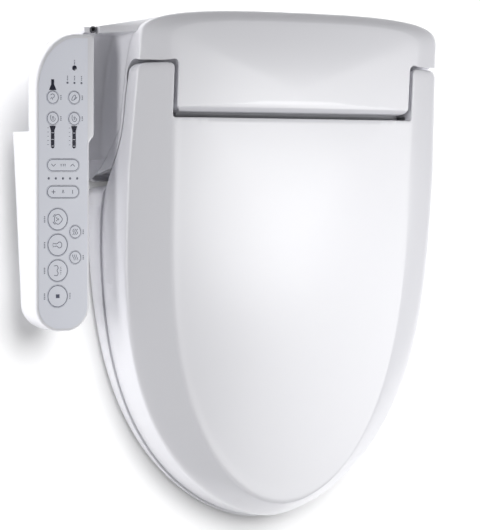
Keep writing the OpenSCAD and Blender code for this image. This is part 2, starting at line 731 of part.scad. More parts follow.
// tapered strength windows under the two inner keys
module window2d(g) {
  for (x = [-col_out, -col_in]) translate([x, row_b]) {
    polygon([[-3.4 - g, -small_key_r - 0.6 + g], [-1.9 - g, -small_key_r - 5.5],
      [-1.9 - g, -28], [1.9 + g, -28], [1.9 + g, -small_key_r - 5.5],
      [3.4 + g, -small_key_r - 0.6 + g]]);
    translate([0, -28]) circle(1.9 + g);
  }
  translate([-col_out, row_a]) polygon([[-4 - g, small_key_r + 0.4 - g],
    [4 + g, small_key_r + 0.4 - g], [1.6 + g, small_key_r + 6],
    [1.6 + g, small_key_r + 11 + g], [-1.6 - g, small_key_r + 11 + g],
    [-1.6 - g, small_key_r + 6]]);
}

module arm_bezel() {
  color(white) arm_frame() difference() {
    plan_skin([flat(arm_pts(0), -bezel_h), flat(arm_pts(0), -3),
      flat(arm_pts(0.5), -0.9), flat(arm_pts(1.3), -0.15), flat(arm_pts(2), 0)],
      -(arm_out + arm_in_front) / 2, -25);
    translate([0, 0, -bezel_h - 1]) linear_extrude(bezel_h + 1 - arm_wall)
      polygon(arm_pts(arm_wall));
    translate([0, 0, -label_t + 0.2]) linear_extrude(5) polygon(label_pts(0));
    key_holes(key_gap);
    for (l = lens_at) translate([l[0], l[1], -20]) cylinder(h = 30, r = l[2]);
    translate([0, 0, -10]) linear_extrude(20) window2d(0);
  }
}
module panel_label() {
  color(grey) arm_frame() difference() {
    translate([0, 0, -label_t + 0.2]) linear_extrude(label_t) polygon(label_pts(0.1));
    key_holes(key_gap);
    for (l = lens_at) translate([l[0], l[1], -20]) cylinder(h = 30, r = l[2] + 0.05);
    translate([0, 0, -10]) linear_extrude(20) window2d(0.05);
  }
}
module status_lenses() {
  color(dark) arm_frame() for (l = lens_at) translate([l[0], l[1], -arm_wall])
    cylinder(h = arm_wall + 0.2, r = l[2] - 0.03);
}
module level_windows() {
  color(dark) arm_frame() translate([0, 0, -arm_wall])
    linear_extrude(arm_wall + 0.2) window2d(-0.06);
}
module key(i) {
  k = KEYS[i];
  color(grey) arm_frame() translate([k[0], k[1], 0]) {
    translate([0, 0, -arm_wall - 0.4]) cylinder(h = arm_wall + 0.4 + proud, r = k[2]);
    translate([0, 0, -arm_wall - 0.1 - flange_t]) cylinder(h = flange_t, r = k[2] + 0.9);
  }
}
module key_stop() { key(3); }
module key_rear() { key(0); }
module key_front() { key(1); }
module key_dry() { key(2); }
module key_a() { key(4); }
module key_b() { key(5); }
module key_c() { key(6); }
module key_d() { key(7); }
module key_e() { key(8); }
module key_f() { key(9); }
rocker_pin_r = 0.9;
rocker_pivot = -arm_wall - 0.05 - rocker_pin_r;
module rocker(y) {
  color(grey) arm_frame() translate([-rocker_x, y, 0]) {
    translate([0, 0, rocker_pivot - 0.6]) linear_extrude(-rocker_pivot + 0.6 + proud)
      slot2d(rocker_l, rocker_w);
    translate([0, rocker_w / 2 + 2, rocker_pivot]) rotate([90, 0, 0])
      cylinder(h = rocker_w + 4, r = rocker_pin_r);
  }
}
module rocker_upper() { rocker(rocker_y[0]); }
module rocker_lower() { rocker(rocker_y[1]); }
membrane_top = -arm_wall - 0.1 - flange_t - key_travel - 0.3;
module board2d(d) {
  polygon(concat([[-arm_in_front - d, 60]],
    [for (p = arc(-arm_out + rear_rx, arm_rear - rear_ry, rear_rx - d, rear_ry - d,
      110, 180, 8)) p],
    [for (i = [1:22]) arm_front_pts(d, 0)[i]]));
}
module key_membrane() {
  color("dimgrey") arm_frame() translate([0, 0, membrane_top - 1])
    linear_extrude(1) board2d(arm_wall + 3);
}
module control_board() {
  color("green") arm_frame() translate([0, 0, membrane_top - 2.6])
    linear_extrude(1.6) board2d(arm_wall + 0.3);
}

// floor of the bridge between the housing and the arm
function z_bridge(y) = 57 + 0.18 * (y + 35) + 12 * exp((y - 39) / 14);
ledge_h = arm_h + 2;
bridge_front = -86;
bridge_toe = -seat_rear + 6.2;
case_side = [for (p = case_half(0, 0)) [p[1], p[0]]];
// corners of the housing's outline that the bridge's rear follows
bridge_knots = [for (i = [len(case_side) - 1:-1:0]) let (y = case_side[i][0])
  if (y < taper_y + 37 && y > taper_y - eps) y];
bridge_rear = 45;
ledge_rise = 22;
// first corner of the outline that is in front of the ledge
ledge_knot = [for (i = [0:len(bridge_knots) - 1]) if (bridge_knots[i] < 42) i][0];
ledge_y = bridge_knots[ledge_knot];
bridge_ys = concat([for (i = [0:ledge_knot]) bridge_knots[i]], [ledge_y - 1.5],
  [for (i = [ledge_knot + 1:len(bridge_knots) - 1]) bridge_knots[i]],
  [for (i = [1:10]) mix(taper_y, bridge_front, i / 10)],
  [for (i = [1:5]) mix(bridge_front, bridge_toe, sin(18 * i))]);
module bridge() {
  nx = 9;
  ys = bridge_ys;
  ny = len(ys);
  // concave across, with a fillet up to the housing and one up to the arm,
  // and a ledge along its rear that rises to the housing's shoulder
  function ledge_z(t) = ledge_h + ledge_rise * pow(1 - t, 1.6);
  function zf(y, t) = y < bridge_front - 1
    ? mix(12, z_bridge(bridge_front), pow((y - bridge_toe) / (bridge_front - bridge_toe), 0.75))
    : y > ledge_y - 0.5 ? ledge_z(t)
    : min(arm_h + (y + 57) * tan(arm_tilt) - bezel_h - 1 + 24 * max(0, 1 - 3 * t),
      z_bridge(y) + 26 * pow(max(0, 0.28 - t) / 0.28, 2.2) * min(1, (y - bridge_front) / 30)
      + 10 * pow(max(0, t - 0.75) / 0.25, 2));
  // behind the crest, the rows fan in from the housing's corner to the arm
  function yf(y, t) = y < ledge_y - eps ? y
    : mix(y, mix(ledge_y - 1.5, bridge_rear, (y - ledge_y) / (ys[0] - ledge_y)), t);
  // the last column runs into the arm's wall
  function xf(y, i) = i == nx ? -arm_in_rear - 9
    : mix(-0.05 - lookup(y, case_side), -arm_in_rear - 0.5, i / (nx - 1));
  pts = concat(
    [for (j = [0:ny - 1], i = [0:nx]) let (t = min(1, i / (nx - 1)))
      [xf(ys[j], i), yf(ys[j], t), zf(ys[j], t)]],
    [for (j = [0:ny - 1], i = [0:nx])
      [xf(ys[j], i), yf(ys[j], min(1, i / (nx - 1))), 10]]);
  n = (nx + 1) * ny;
  function id(j, i) = j * (nx + 1) + i;
  sides = concat(
    [for (j = [0:ny - 2], i = [0:nx - 1]) [id(j, i), id(j, i + 1), id(j + 1, i + 1)]],
    [for (j = [0:ny - 2], i = [0:nx - 1]) [id(j, i), id(j + 1, i + 1), id(j + 1, i)]],
    [for (j = [0:ny - 2], i = [0:nx - 1]) [n + id(j, i), n + id(j + 1, i + 1), n + id(j, i + 1)]],
    [for (j = [0:ny - 2], i = [0:nx - 1]) [n + id(j, i), n + id(j + 1, i), n + id(j + 1, i + 1)]],
    [for (i = [0:nx - 1]) [id(0, i), n + id(0, i), n + id(0, i + 1)]],
    [for (i = [0:nx - 1]) [id(0, i), n + id(0, i + 1), id(0, i + 1)]],
    [for (i = [0:nx - 1]) [id(ny - 1, i), id(ny - 1, i + 1), n + id(ny - 1, i + 1)]],
    [for (i = [0:nx - 1]) [id(ny - 1, i), n + id(ny - 1, i + 1), n + id(ny - 1, i)]],
    [for (j = [0:ny - 2]) [id(j, 0), id(j + 1, 0), n + id(j + 1, 0)]],
    [for (j = [0:ny - 2]) [id(j, 0), n + id(j + 1, 0), n + id(j, 0)]],
    [for (j = [0:ny - 2]) [id(j, nx), n + id(j, nx), n + id(j + 1, nx)]],
    [for (j = [0:ny - 2]) [id(j, nx), n + id(j + 1, nx), id(j + 1, nx)]]);
  polyhedron(points = pts, faces = [for (f = sides) [f[2], f[1], f[0]]],
    convexity = 10);
}
// depth of the tub below the panel face, front part
function tub_z(y) = -64.5 + 0.111 * (-7 - y);
tub_rear = -4;
shallow_z = -26;
module arm_case() {
  color(white) {
    arm_frame() difference() {
      union() {
        plan_skin([
          [for (p = arm_front_pts(11, tub_rear)) [p[0], p[1], tub_z(p[1])]],
          [for (p = arm_front_pts(5, tub_rear)) [p[0], p[1], tub_z(p[1]) + 1.6]],
          [for (p = arm_front_pts(2, tub_rear)) [p[0], p[1], tub_z(p[1]) + 5]],
          [for (p = arm_front_pts(0.8, tub_rear)) [p[0], p[1], tub_z(p[1]) + 11]],
          [for (p = arm_front_pts(0.1, tub_rear)) [p[0], p[1], -bezel_h - 0.3]]],
          -(arm_out + arm_in_front) / 2, -100);
        intersection() {
          plan_skin([flat(arm_pts(5), shallow_z), flat(arm_pts(3), shallow_z + 1.6),
            flat(arm_pts(1.4), shallow_z + 5), flat(arm_pts(0.4), -bezel_h - 0.3)],
            -(arm_out + arm_in_front) / 2, -25);
          box(-300, 0, tub_rear - 8, 150, -60, 0);
        }
      }
      // hollow of the deep front part and of the shallow rear part
      difference() {
        translate([0, 0, -60]) linear_extrude(80) polygon(concat(
          [[-arm_out + 4, 20]], [for (i = [1:22]) arm_front_pts(4, 0)[i]],
          [[-arm_in_front - 4, 20]]));
        rotate([-atan(0.111), 0, 0]) box(-300, -200, -230, 20, -90, -60.6);
        box(-300, -200, tub_rear - 3, 30, -90, shallow_z + 3);
      }
      translate([0, 0, shallow_z + 3]) linear_extrude(50) intersection() {
        polygon(arm_pts(5));
        translate([-300, 0]) square([300, 200]);
      }
    }
    // the bridge, with a recess for the cord's gland in its ledge
    difference() {
      bridge();
      translate([0, 0, ledge_h - gland_deep]) linear_extrude(20)
        translate([gland_x, gland_y]) rotate(-4) square([10.4, 8.4], center = true);
      translate([gland_x, gland_y, 0]) cylinder(h = ledge_h + 10, r = 2.45);
    }
  }
}
gland_x = -216.8;
gland_y = 42.9;
gland_deep = 5;
module cord_gland() {
  color(silver) translate([gland_x, gland_y, ledge_h - gland_deep + 0.05]) difference() {
    union() {
      cylinder(h = 2.6, r = 3.4);
      translate([0, 0, -9]) cylinder(h = 9 + eps, r = 2.4);
    }
    translate([0, 0, -10]) cylinder(h = 14, r = 1.9);
  }
}

// ---------------------------------------------------------------- inside the housing

floor_z = base_lift + case_wall;
roof_z = plate_h + plate_gap + case_wall;
inlet_y = 8;
inlet_z = 26;
inlet_wall = side_w(inlet_y, 0) - case_wall;
inlet_collar = 1.2;
valve_l = 53;
valve_x = inlet_wall - 8 - valve_l;
pump_x = 118;
button_y = -34;
button_z = 20;
button_r = 9;
wall_x = side_w(button_y, 0) - 0.1;
board_z = 66;
board_t = 1.6;
module main_board() {
  color("green") {
    box(-118, -36, -8, 40, board_z, board_z + board_t);
    for (x = [-112, -42], y = [-2, 34]) translate([x, y, roof_z])
      cylinder(h = board_z - roof_z, r = 2.6);
    box(-110, -96, 4, 30, board_z + board_t, board_z + 14);
    box(-84, -58, 8, 30, board_z + board_t, board_z + 8);
  }
}
module power_supply() {
  color("khaki") {
    box(-104, -88, -12, 38, roof_z, roof_z + 30);
    box(-82, -60, -4, 32, roof_z, roof_z + 42);
    box(-104, -60, -12, 38, roof_z, roof_z + 1.6);
  }
}
module heater_tank() {
  color("beige") {
    translate([0, 0, roof_z]) linear_extrude(44) rounded(34, 92, 0, 52, 8);
    translate([50, 26, roof_z + 44]) cylinder(h = 6, r = 8);
    translate([76, 26, roof_z + 44]) cylinder(h = 4, r = 6);
  }
}
module inlet_valve() {
  color("ivory") {
    translate([0, inlet_y, inlet_z]) rotate([0, 90, 0]) {
      translate([0, 0, valve_x]) cylinder(h = valve_l, r = 9);
      translate([0, 0, valve_x - 6]) cylinder(h = 6 + eps, r = 5);
    }
    box(valve_x + 8, valve_x + 38, inlet_y - 9, inlet_y + 9, floor_z, inlet_z);
    translate([valve_x + 23, inlet_y, inlet_z]) cylinder(h = 24, r = 8);
  }
}
module water_inlet() {
  color("silver") translate([inlet_wall, inlet_y, inlet_z]) rotate([0, 90, 0]) difference() {
    union() {
      translate([0, 0, -7.8]) cylinder(h = 7, r = inlet_r + 3.5, $fn = 6);
      translate([0, 0, -1]) cylinder(h = case_wall + 2, r = inlet_r + inlet_collar);
      cylinder(h = case_wall + 1 + inlet_l, r = inlet_r);
    }
    translate([0, 0, -9]) cylinder(h = inlet_l + 20, r = inlet_r - 3.4);
  }
}
module water_pump() {
  color("ivory") {
    translate([pump_x, -62, floor_z]) cylinder(h = 20, r = 14);
    translate([pump_x, -62, floor_z + 20]) cylinder(h = 6, r = 9);
    box(pump_x + 13, pump_x + 23, -68, -56, floor_z, floor_z + 14);
  }
}
fan_x = 96;
fan_y = -26;
fan_z = roof_z + 4;
dryer_x = 58;
dryer_z = 9.5;
module blower_case() {
  color("whitesmoke") translate([fan_x, fan_y, roof_z]) difference() {
    union() {
      cylinder(h = 24, r = fan_r + 4);
      translate([-fan_r - 4, -fan_r - 9, 0]) cube([20, fan_r + 9, 24]);
    }
    translate([0, 0, 2]) cylinder(h = 20, r = fan_r + 1.5);
    translate([0, 0, 10]) cylinder(h = 20, r = fan_r - 6);
    translate([-fan_r - 1.5, -fan_r - 20, 2]) cube([15, fan_r + 20, 20]);
  }
  color("whitesmoke") translate([fan_x, fan_y, roof_z + 2 - eps]) cylinder(h = 3, r = 2);
}
module blower_fan() {
  color("dimgrey") translate([fan_x, fan_y, roof_z + 2.6]) difference() {
    union() {
      cylinder(h = 1.6, r = fan_r);
      cylinder(h = 14, r = 5);
      for (i = [0:fan_blades - 1]) rotate(i * 360 / fan_blades)
        translate([fan_r - 4.2, -0.6, 0]) rotate(25) cube([4, 1.2, 15]);
    }
    translate([0, 0, -1]) cylinder(h = 6, r = 2.06);
  }
}
module dryer_duct() {
  color("whitesmoke") difference() {
    translate([dryer_x, 0, 0]) box(-dryer_w / 2, dryer_w / 2, -case_front + case_wall + 0.2,
      fan_y - fan_r - 9.1, dryer_z, dryer_z + dryer_h);
    translate([dryer_x, 0, 0]) box(-dryer_w / 2 + 2, dryer_w / 2 - 2, -case_front,
      fan_y - fan_r - 9.2 + 5, dryer_z + 2, dryer_z + dryer_h - 2);
  }
}
flap_pin_r = 1.2;
flap_y = -case_front + 1.5;
flap_z = dryer_z + dryer_h - 0.2;
module dryer_flap() {
  color(white) translate([dryer_x, flap_y, flap_z]) {
    rotate([0, 90, 0]) translate([0, 0, -dryer_w / 2 - 0.8])
      cylinder(h = dryer_w + 1.6, r = flap_pin_r);
    box(-dryer_w / 2 + 0.3, dryer_w / 2 - 0.3, -1.1, 0.7, -dryer_h + 0.4, 0);
  }
}

// frame of a nozzle's axis: +Z of the frame points out and down
module nozzle_frame(i) {
  translate([i * nozzle_pitch / 2, -case_front - 1, nozzle_h])
    rotate([90 + nozzle_tilt, 0, 0]) children();
}
module nozzle(i) {
  color("ghostwhite") nozzle_frame(i) difference() {
    union() {
      translate([0, 0, -nozzle_l]) cylinder(h = nozzle_l, r = nozzle_r - 0.6);
      translate([0, 0, -nozzle_l]) cylinder(h = nozzle_l - 14, r = nozzle_r);
      translate([0, 0, -12]) cylinder(h = 11, r = nozzle_r - 0.1);
    }
    // spray holes in the flat of the tip
    for (z = [-9, -6]) translate([0, 0, z]) rotate([-90, 0, 0])
      translate([0, 0, 3]) cylinder(h = 5, r = 0.7);
  }
}
module wash_nozzle() { nozzle(-1); }
module bidet_nozzle() { nozzle(1); }
module nozzle_guide() {
  color("gainsboro") difference() {
    union() {
      for (z = [-26, -104]) nozzle_frame(0) translate([0, 0, z])
        linear_extrude(16) rounded(-nozzle_pitch / 2 - 9, nozzle_pitch / 2 + 9, -9, 9, 3);
      // legs down to the floor of the base
      box(-16, 16, -92, -86, floor_z, 22);
      box(-16, 16, -15, -9, roof_z, 42);
    }
    for (i = [-1, 1]) nozzle_frame(i) translate([0, 0, -nozzle_l - 20])
      cylinder(h = nozzle_l + 40, r = nozzle_r + nozzle_clear);
  }
}

// ---------------------------------------------------------------- fixing plate

module release_button() {
  color(grey) translate([0, button_y, button_z]) rotate([0, 90, 0]) {
    translate([0, 0, wall_x - 8]) cylinder(h = 10.4, r = button_r);
    translate([0, 0, wall_x - 10]) cylinder(h = 4, r = button_r + 1.4);
  }
}
module mounting_plate() {
  color("whitesmoke") difference() {
    union() {
      translate([0, 0, 0]) linear_extrude(plate_h)
        rounded(-plate_half_w, plate_half_w, -plate_d / 2, plate_d / 2, 4);
      both_sides() box(plate_half_w - 6, channel_half_w - plate_gap,
        -plate_d / 2 + 4, plate_d / 2 - 4, base_lift + 2.2 + plate_gap, plate_h);
    }
    // pockets for the bolt heads, with the slots in their floors
    for (s = [-1, 1]) translate([s * slot_pitch / 2, 0, 0]) {
      translate([0, 0, 4]) linear_extrude(20) slot2d(slot_l + 10, slot_w + 12);
      translate([0, 0, -1]) linear_extrude(20) slot2d(slot_l, slot_w);
    }
    translate([0, 0, 3]) linear_extrude(20)
      rounded(-34, 34, -plate_d / 2 + 6, plate_d / 2 - 6, 4);
  }
}

base_case();
top_cover();
arm_case();
arm_bezel();
panel_label();
status_lenses();
level_windows();
key_membrane();
control_board();
key_stop();
key_rear();
key_front();
key_dry();
key_a();
key_b();
key_c();
key_d();
key_e();
key_f();
rocker_upper();
rocker_lower();
main_board();
power_supply();
heater_tank();
inlet_valve();
water_pump();
water_inlet();
cord_gland();
blower_case();
blower_fan();
dryer_duct();
dryer_flap();
nozzle_guide();
wash_nozzle();
bidet_nozzle();
hinge_pins();
hinge_dampers();
base_feet();
case_screws();
release_button();
mounting_plate();
lid_shell();
lid_bushes();
lid_bumpers();
seat_top();
seat_bottom();
seat_arms();
seat_heater();
seat_bumpers();
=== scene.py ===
"""Smooth shells, keys, prints and moulded finishes of the electric bidet seat."""
import math

import bmesh
import bpy
import numpy as np
from mathutils import Matrix, Vector
from mathutils.bvhtree import BVHTree


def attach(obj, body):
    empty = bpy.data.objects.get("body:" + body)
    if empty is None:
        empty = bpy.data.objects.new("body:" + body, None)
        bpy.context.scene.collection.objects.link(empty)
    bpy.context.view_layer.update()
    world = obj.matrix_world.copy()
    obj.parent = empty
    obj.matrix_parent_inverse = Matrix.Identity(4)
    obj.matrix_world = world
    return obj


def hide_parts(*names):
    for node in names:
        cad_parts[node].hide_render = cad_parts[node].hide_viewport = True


bl_info = {
    "name": "Electric Bidet Seat",
    "version": (1, 0, 0),
    "blender": (4, 5, 0),
    "location": "3D View > Sidebar > Bidet Seat",
    "description": "Builds the shells, keys and finishes of an electric bidet seat",
    "category": "Add Mesh",
}

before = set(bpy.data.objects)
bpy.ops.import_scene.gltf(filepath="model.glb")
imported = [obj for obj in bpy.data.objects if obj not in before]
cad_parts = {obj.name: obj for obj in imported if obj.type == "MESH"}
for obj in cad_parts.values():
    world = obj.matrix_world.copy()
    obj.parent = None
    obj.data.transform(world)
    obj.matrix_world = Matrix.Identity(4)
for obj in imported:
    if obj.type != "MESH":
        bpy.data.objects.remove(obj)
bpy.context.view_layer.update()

# points along the curved front, the straight side and a corner of a shell outline
FRONT_POINTS, SIDE_POINTS, CORNER_POINTS = 80, 26, 10
HINGE_Y, HINGE_Z = -6.0, 111.0
# rear edge of the seat's shell and its corners, and the rear end of the lid's arms
SEAT_REAR, SEAT_CORNER, ARM_END = 111.2, 10.0, 7.3
# at the shoulder and at the crease: where the straight side starts, and what it has
# spread by at SIDE_END
SIDE_START, SIDE_SPREAD, SIDE_END = (-99.2, -113.4), (-6.2, 3.3), 20
# the middle that the lid's and the housing's tops shrink towards
LID_MIDDLE, HOUSING_MIDDLE = -200, -20
UP, ACROSS = (0, 0, 1), (1, 0, 0)


# ---- sizes and colours

def length(label, text, millimetres, low, high):
    """A size property in metres, given in millimetres."""
    return bpy.props.FloatProperty(
        name=label, description=text, default=millimetres / 1000, min=low / 1000,
        max=high / 1000, precision=4, unit="LENGTH", subtype="DISTANCE")


def colour(label, text, rgb):
    return bpy.props.FloatVectorProperty(
        name=label, description=text, default=rgb, min=0, max=1, size=3, subtype="COLOR")


class BidetSeatSizes(bpy.types.PropertyGroup):
    """Sizes of the shells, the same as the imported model's"""
    lid_half_width: length("Lid half-width", "Half-width of the lid", 187.5, 178, 195)
    lid_reach: length("Lid reach", "From the fixing slots to the tip", 465, 440, 480)
    panel_half_width: length("Panel half-width", "Half-width of the top panel", 143.9,
                             136, 150)
    tip_height: length("Tip height", "Height of the shoulder at the tip", 43.4, 40, 50)
    bevel_height: length("Bevel height", "Rise of the bevel at the tip", 26.8, 22, 30)
    bevel_fall: length("Bevel fall", "Rise lost towards the hinge", 13.4, 10, 15)
    lid_crown: length("Lid crown", "Crown of the top panel", 3.4, 1, 6)
    lid_wall: length("Lid wall", "Wall of the lid", 3, 2.4, 4)
    housing_rear: length("Housing rear", "From the fixing slots to the rear", 63, 60, 70)
    housing_crown: length("Housing crown", "Crown of the housing's top", 3, 1, 6)
    arm_outer: length("Arm outer side", "From the middle to the arm's outer side", 284,
                      276, 290)
    arm_height: length("Arm height", "Height of the panel face at its pivot", 90, 86, 94)
    arm_slope: bpy.props.FloatProperty(
        name="Arm slope", description="Slope of the panel face",
        default=math.radians(4.32), subtype="ANGLE", unit="ROTATION")
    key_dome: length("Key dome", "Rise of a key's middle", 0.25, 0, 0.4)
    print_depth: length("Print depth", "Thickness of the printed symbols", 0.05, 0.02, 0.1)


class BidetSeatColours(bpy.types.PropertyGroup):
    """Colours of the mouldings, film and prints"""
    shell: colour("Shell", "Lid, seat and housing", (0.83, 0.83, 0.87))
    film: colour("Film", "Panel film and keys", (0.84, 0.86, 0.94))
    ink: colour("Ink", "Printed symbols", (0.09, 0.10, 0.16))
    window: colour("Window", "Lamps and strength windows", (0.012, 0.014, 0.035))
    rubber: colour("Rubber", "Feet and bumpers", (0.30, 0.30, 0.31))
    metal: colour("Metal", "Pins, screws and inlet", (0.62, 0.62, 0.64))


def sizes():
    return bpy.context.scene.bidet_seat_sizes


def colours():
    return bpy.context.scene.bidet_seat_colours


# ---- shared curves

def lerp(a, b, f):
    return a + (b - a) * f


class Form:
    """Curves that the lid, seat, housing and arm share, in millimetres.

    A height is a function of y. A part f of 0 is the shoulder and of 1 the crease.
    """

    def __init__(self):
        for name in BidetSeatSizes.__annotations__:
            setattr(self, name, getattr(sizes(), name) * 1000)
        self.arm_slope = sizes().arm_slope

    def run(self, y):
        """Distance from the tip, as a part of the curves' length."""
        return (y + self.lid_reach) / 400

    def shoulder_z(self, y):
        return self.tip_height + 54.2 * self.run(y) + 7.6 * self.run(y) ** 2

    def crease_z(self, y):
        return self.shoulder_z(y) + self.bevel_height - self.bevel_fall * self.run(y)

    def bevel(self, f):
        """Height of the bevel a part f of the way up, as a function of y."""
        return lambda y: lerp(self.shoulder_z(y), self.crease_z(y), f)

    def edge_z(self, y):
        return (9 + 0.0837 * (y + self.lid_reach) + 47 / (1 + np.exp(-(y + 96) / 16))
                + 0.15 * np.maximum(0, y + 25))

    def seat_z(self, y):
        return lerp(34, 64, (y + self.lid_reach) / (self.lid_reach - SEAT_REAR))

    def half_width(self, f):
        return lerp(self.lid_half_width, self.panel_half_width, f)

    def lid_ring(self, f, inset, rear=ARM_END, corner=9.0):
        """Outline a part f of the way from the shoulder to the crease."""
        return outline(
            lerp(-self.lid_reach, 14.3 - self.lid_reach, f) + inset, lerp(*SIDE_START, f),
            self.half_width(f) - inset, lerp(3.2, 2.8, f), lerp(1.7, 1.9, f),
            lerp(*SIDE_SPREAD, f), rear - inset, corner)

    def seat_ring(self, inset):
        rear = -SEAT_REAR + (0.65 * inset if inset > 0 else inset)
        return self.lid_ring(0, inset, rear, SEAT_CORNER)

    def hole_ring(self, inset):
        return outline(-394 + inset, -198, 104 - inset, 2.1, 2.1, 0,
                       -142 - 0.35 * inset, 64 - inset * 0.5)

    def side(self, y, f):
        start = lerp(*SIDE_START, f)
        return self.half_width(f) + lerp(*SIDE_SPREAD, f) * (y - start) / (SIDE_END - start)

    def housing_ring(self, f, inset):
        y = np.linspace(-100 + inset, SIDE_END, 34)
        straight = np.column_stack([self.side(y, f) - inset, y])
        turn = np.radians(90 * (np.arange(1, 61) / 60) ** 2)
        depth = lerp(self.housing_rear, self.housing_rear - 13, f) - inset - SIDE_END
        wide = self.side(SIDE_END, f) - inset
        arch = np.column_stack([wide * np.cos(turn).clip(0) ** 0.7,
                                SIDE_END + depth * np.sin(turn) ** 0.42])
        half = np.vstack([straight, arch])
        return np.vstack([half, half[-2::-1] * [-1, 1]])

    def on_panel(self, points):
        """Points (across, along the slope, above the face) as points of the model."""
        p = np.asarray(points, float)
        s, c = math.sin(self.arm_slope), math.cos(self.arm_slope)
        return np.column_stack([p[:, 0], p[:, 1] * c - p[:, 2] * s - 57,
                                p[:, 1] * s + p[:, 2] * c + self.arm_height])


def outline(tip, start, width, n, m, taper, rear, corner):
    """A closed outline: curved front, straight sides and rounded rear corners."""
    turn = rear - corner
    low = math.asin(((start - turn) / (start - tip)) ** (n / 2)) if turn < start else 0
    a = low + (math.pi / 2 - low) * (1 - np.arange(FRONT_POINTS + 1) / FRONT_POINTS) ** 1.6
    parts = [np.column_stack([width * np.cos(a).clip(0) ** (2 / m),
                              start - (start - tip) * np.sin(a) ** (2 / n)])]
    if turn >= start:
        y = np.linspace(start, turn, SIDE_POINTS + 1)[1:]
        parts.append(np.column_stack([width + taper * (y - start) / (SIDE_END - start),
                                      y]))
    b = np.radians(90) * np.arange(1, CORNER_POINTS + 1) / CORNER_POINTS
    edge = parts[-1][-1][0]
    parts.append(np.column_stack([edge - corner + corner * np.cos(b),
                                  turn + corner * np.sin(b)]))
    half = np.vstack(parts)
    return np.vstack([half, half[:0:-1] * [-1, 1]])


def lifted(ring, height, up=0):
    """A plan outline at a height, which may be a function of y."""
    z = height(ring[:, 1]) if callable(height) else np.full(len(ring), float(height))
    return np.column_stack([ring, z + up])


def shrunk(ring, k, middle):
    """An outline k times its size about a middle on the centre line."""
    return np.column_stack([ring[:, 0] * k, middle + (ring[:, 1] - middle) * k])


def smooth_rings(keys, steps):
    """More rings between the key rings, on smooth curves through them."""
    keys = [np.asarray(k, float) for k in keys]
    padded = [2 * keys[0] - keys[1]] + keys + [2 * keys[-1] - keys[-2]]
    made = []
    for k in range(1, len(padded) - 2):
        p0, p1, p2, p3 = padded[k - 1:k + 3]
        gap = [np.sqrt(np.linalg.norm(b - a, axis=1)).clip(0.05)[:, None]
               for a, b in ((p0, p1), (p1, p2), (p2, p3))]
        t0, t1 = 0, gap[0]
        t2, t3 = gap[0] + gap[1], gap[0] + gap[1] + gap[2]
        for j in range(steps):
            t = t1 + (t2 - t1) * j / steps
            a1 = (t1 - t) / (t1 - t0) * p0 + (t - t0) / (t1 - t0) * p1
            a2 = (t2 - t) / (t2 - t1) * p1 + (t - t1) / (t2 - t1) * p2
            a3 = (t3 - t) / (t3 - t2) * p2 + (t - t2) / (t3 - t2) * p3
            b1 = (t2 - t) / (t2 - t0) * a1 + (t - t0) / (t2 - t0) * a2
            b2 = (t3 - t) / (t3 - t1) * a2 + (t - t1) / (t3 - t1) * a3
            made.append((t2 - t) / (t2 - t1) * b1 + (t - t1) / (t2 - t1) * b2)
    return made + [keys[-1]]


# ---- meshes

def new_piece(name, points, faces):
    """An object at the origin from points in millimetres."""
    mesh = bpy.data.meshes.new(name)
    mesh.from_pydata((np.asarray(points) / 1000).tolist(), [], faces)
    mesh.update()
    piece = bpy.data.objects.new(name, mesh)
    bpy.context.scene.collection.objects.link(piece)
    return piece


def ring_faces(count, size, around=False):
    """Quads between stacked rings that run anticlockwise from above."""
    faces = []
    for k in range(count if around else count - 1):
        a, b = k * size, (k + 1) % count * size
        faces += [(a + i, a + (i + 1) % size, b + (i + 1) % size, b + i)
                  for i in range(size)]
    return faces


def capped_faces(count, size):
    """Quads between stacked rings, and one flat face over each end."""
    top = range((count - 1) * size, count * size)
    return ring_faces(count, size) + [tuple(range(size))[::-1], tuple(top)]


def closed_stack(name, rings, low, high):
    """A closed solid through stacked rings, with a point in the middle of each end."""
    size, count = len(rings[0]), len(rings)
    points = np.vstack(list(rings) + [[low], [high]])
    faces = ring_faces(count, size)
    last = (count - 1) * size
    faces += [((i + 1) % size, i, count * size) for i in range(size)]
    faces += [(last + i, last + (i + 1) % size, count * size + 1) for i in range(size)]
    return new_piece(name, points, faces)


def closed_loop(name, rings):
    return new_piece(name, np.vstack(rings), ring_faces(len(rings), len(rings[0]), True))


def prism(name, ring, low, high, place=np.asarray):
    """An upright solid over an outline, or one that place puts somewhere else."""
    points = np.vstack([place(lifted(ring, z)) for z in (low, high)])
    return new_piece(name, points, capped_faces(2, len(ring)))


def along_x(name, profile, start, end):
    """A solid with a profile of (y, z) points, from start to end across the model."""
    points = [(x, y, z) for x in (start, end) for y, z in profile]
    return outward(new_piece(name, points, capped_faces(2, len(profile))))


def block(name, x0, x1, y0, y1, z0, z1):
    return prism(name, np.array([(x0, y0), (x1, y0), (x1, y1), (x0, y1)], float), z0, z1)


def turned(name, profile, origin=(0, 0, 0), axis=UP, steps=64):
    """A lathed solid: profile of (radius, height) points, its ends on the axis."""
    turn = Vector((0, 0, 1)).rotation_difference(Vector(axis)).to_matrix()
    a = np.linspace(0, 2 * math.pi, steps, endpoint=False)
    rings = [np.column_stack([r * np.cos(a), r * np.sin(a), np.full(steps, h)])
             for r, h in profile if r > 0]
    piece = closed_stack(name, rings, (0, 0, profile[0][1]), (0, 0, profile[-1][1]))
    piece.data.transform(Matrix.Translation(Vector(origin) / 1000) @ turn.to_4x4())
    return piece


def rod(name, radius, low, high, origin=(0, 0, 0), axis=UP, steps=64):
    profile = [(0, low), (radius, low), (radius, high), (0, high)]
    return turned(name, profile, origin, axis, steps)


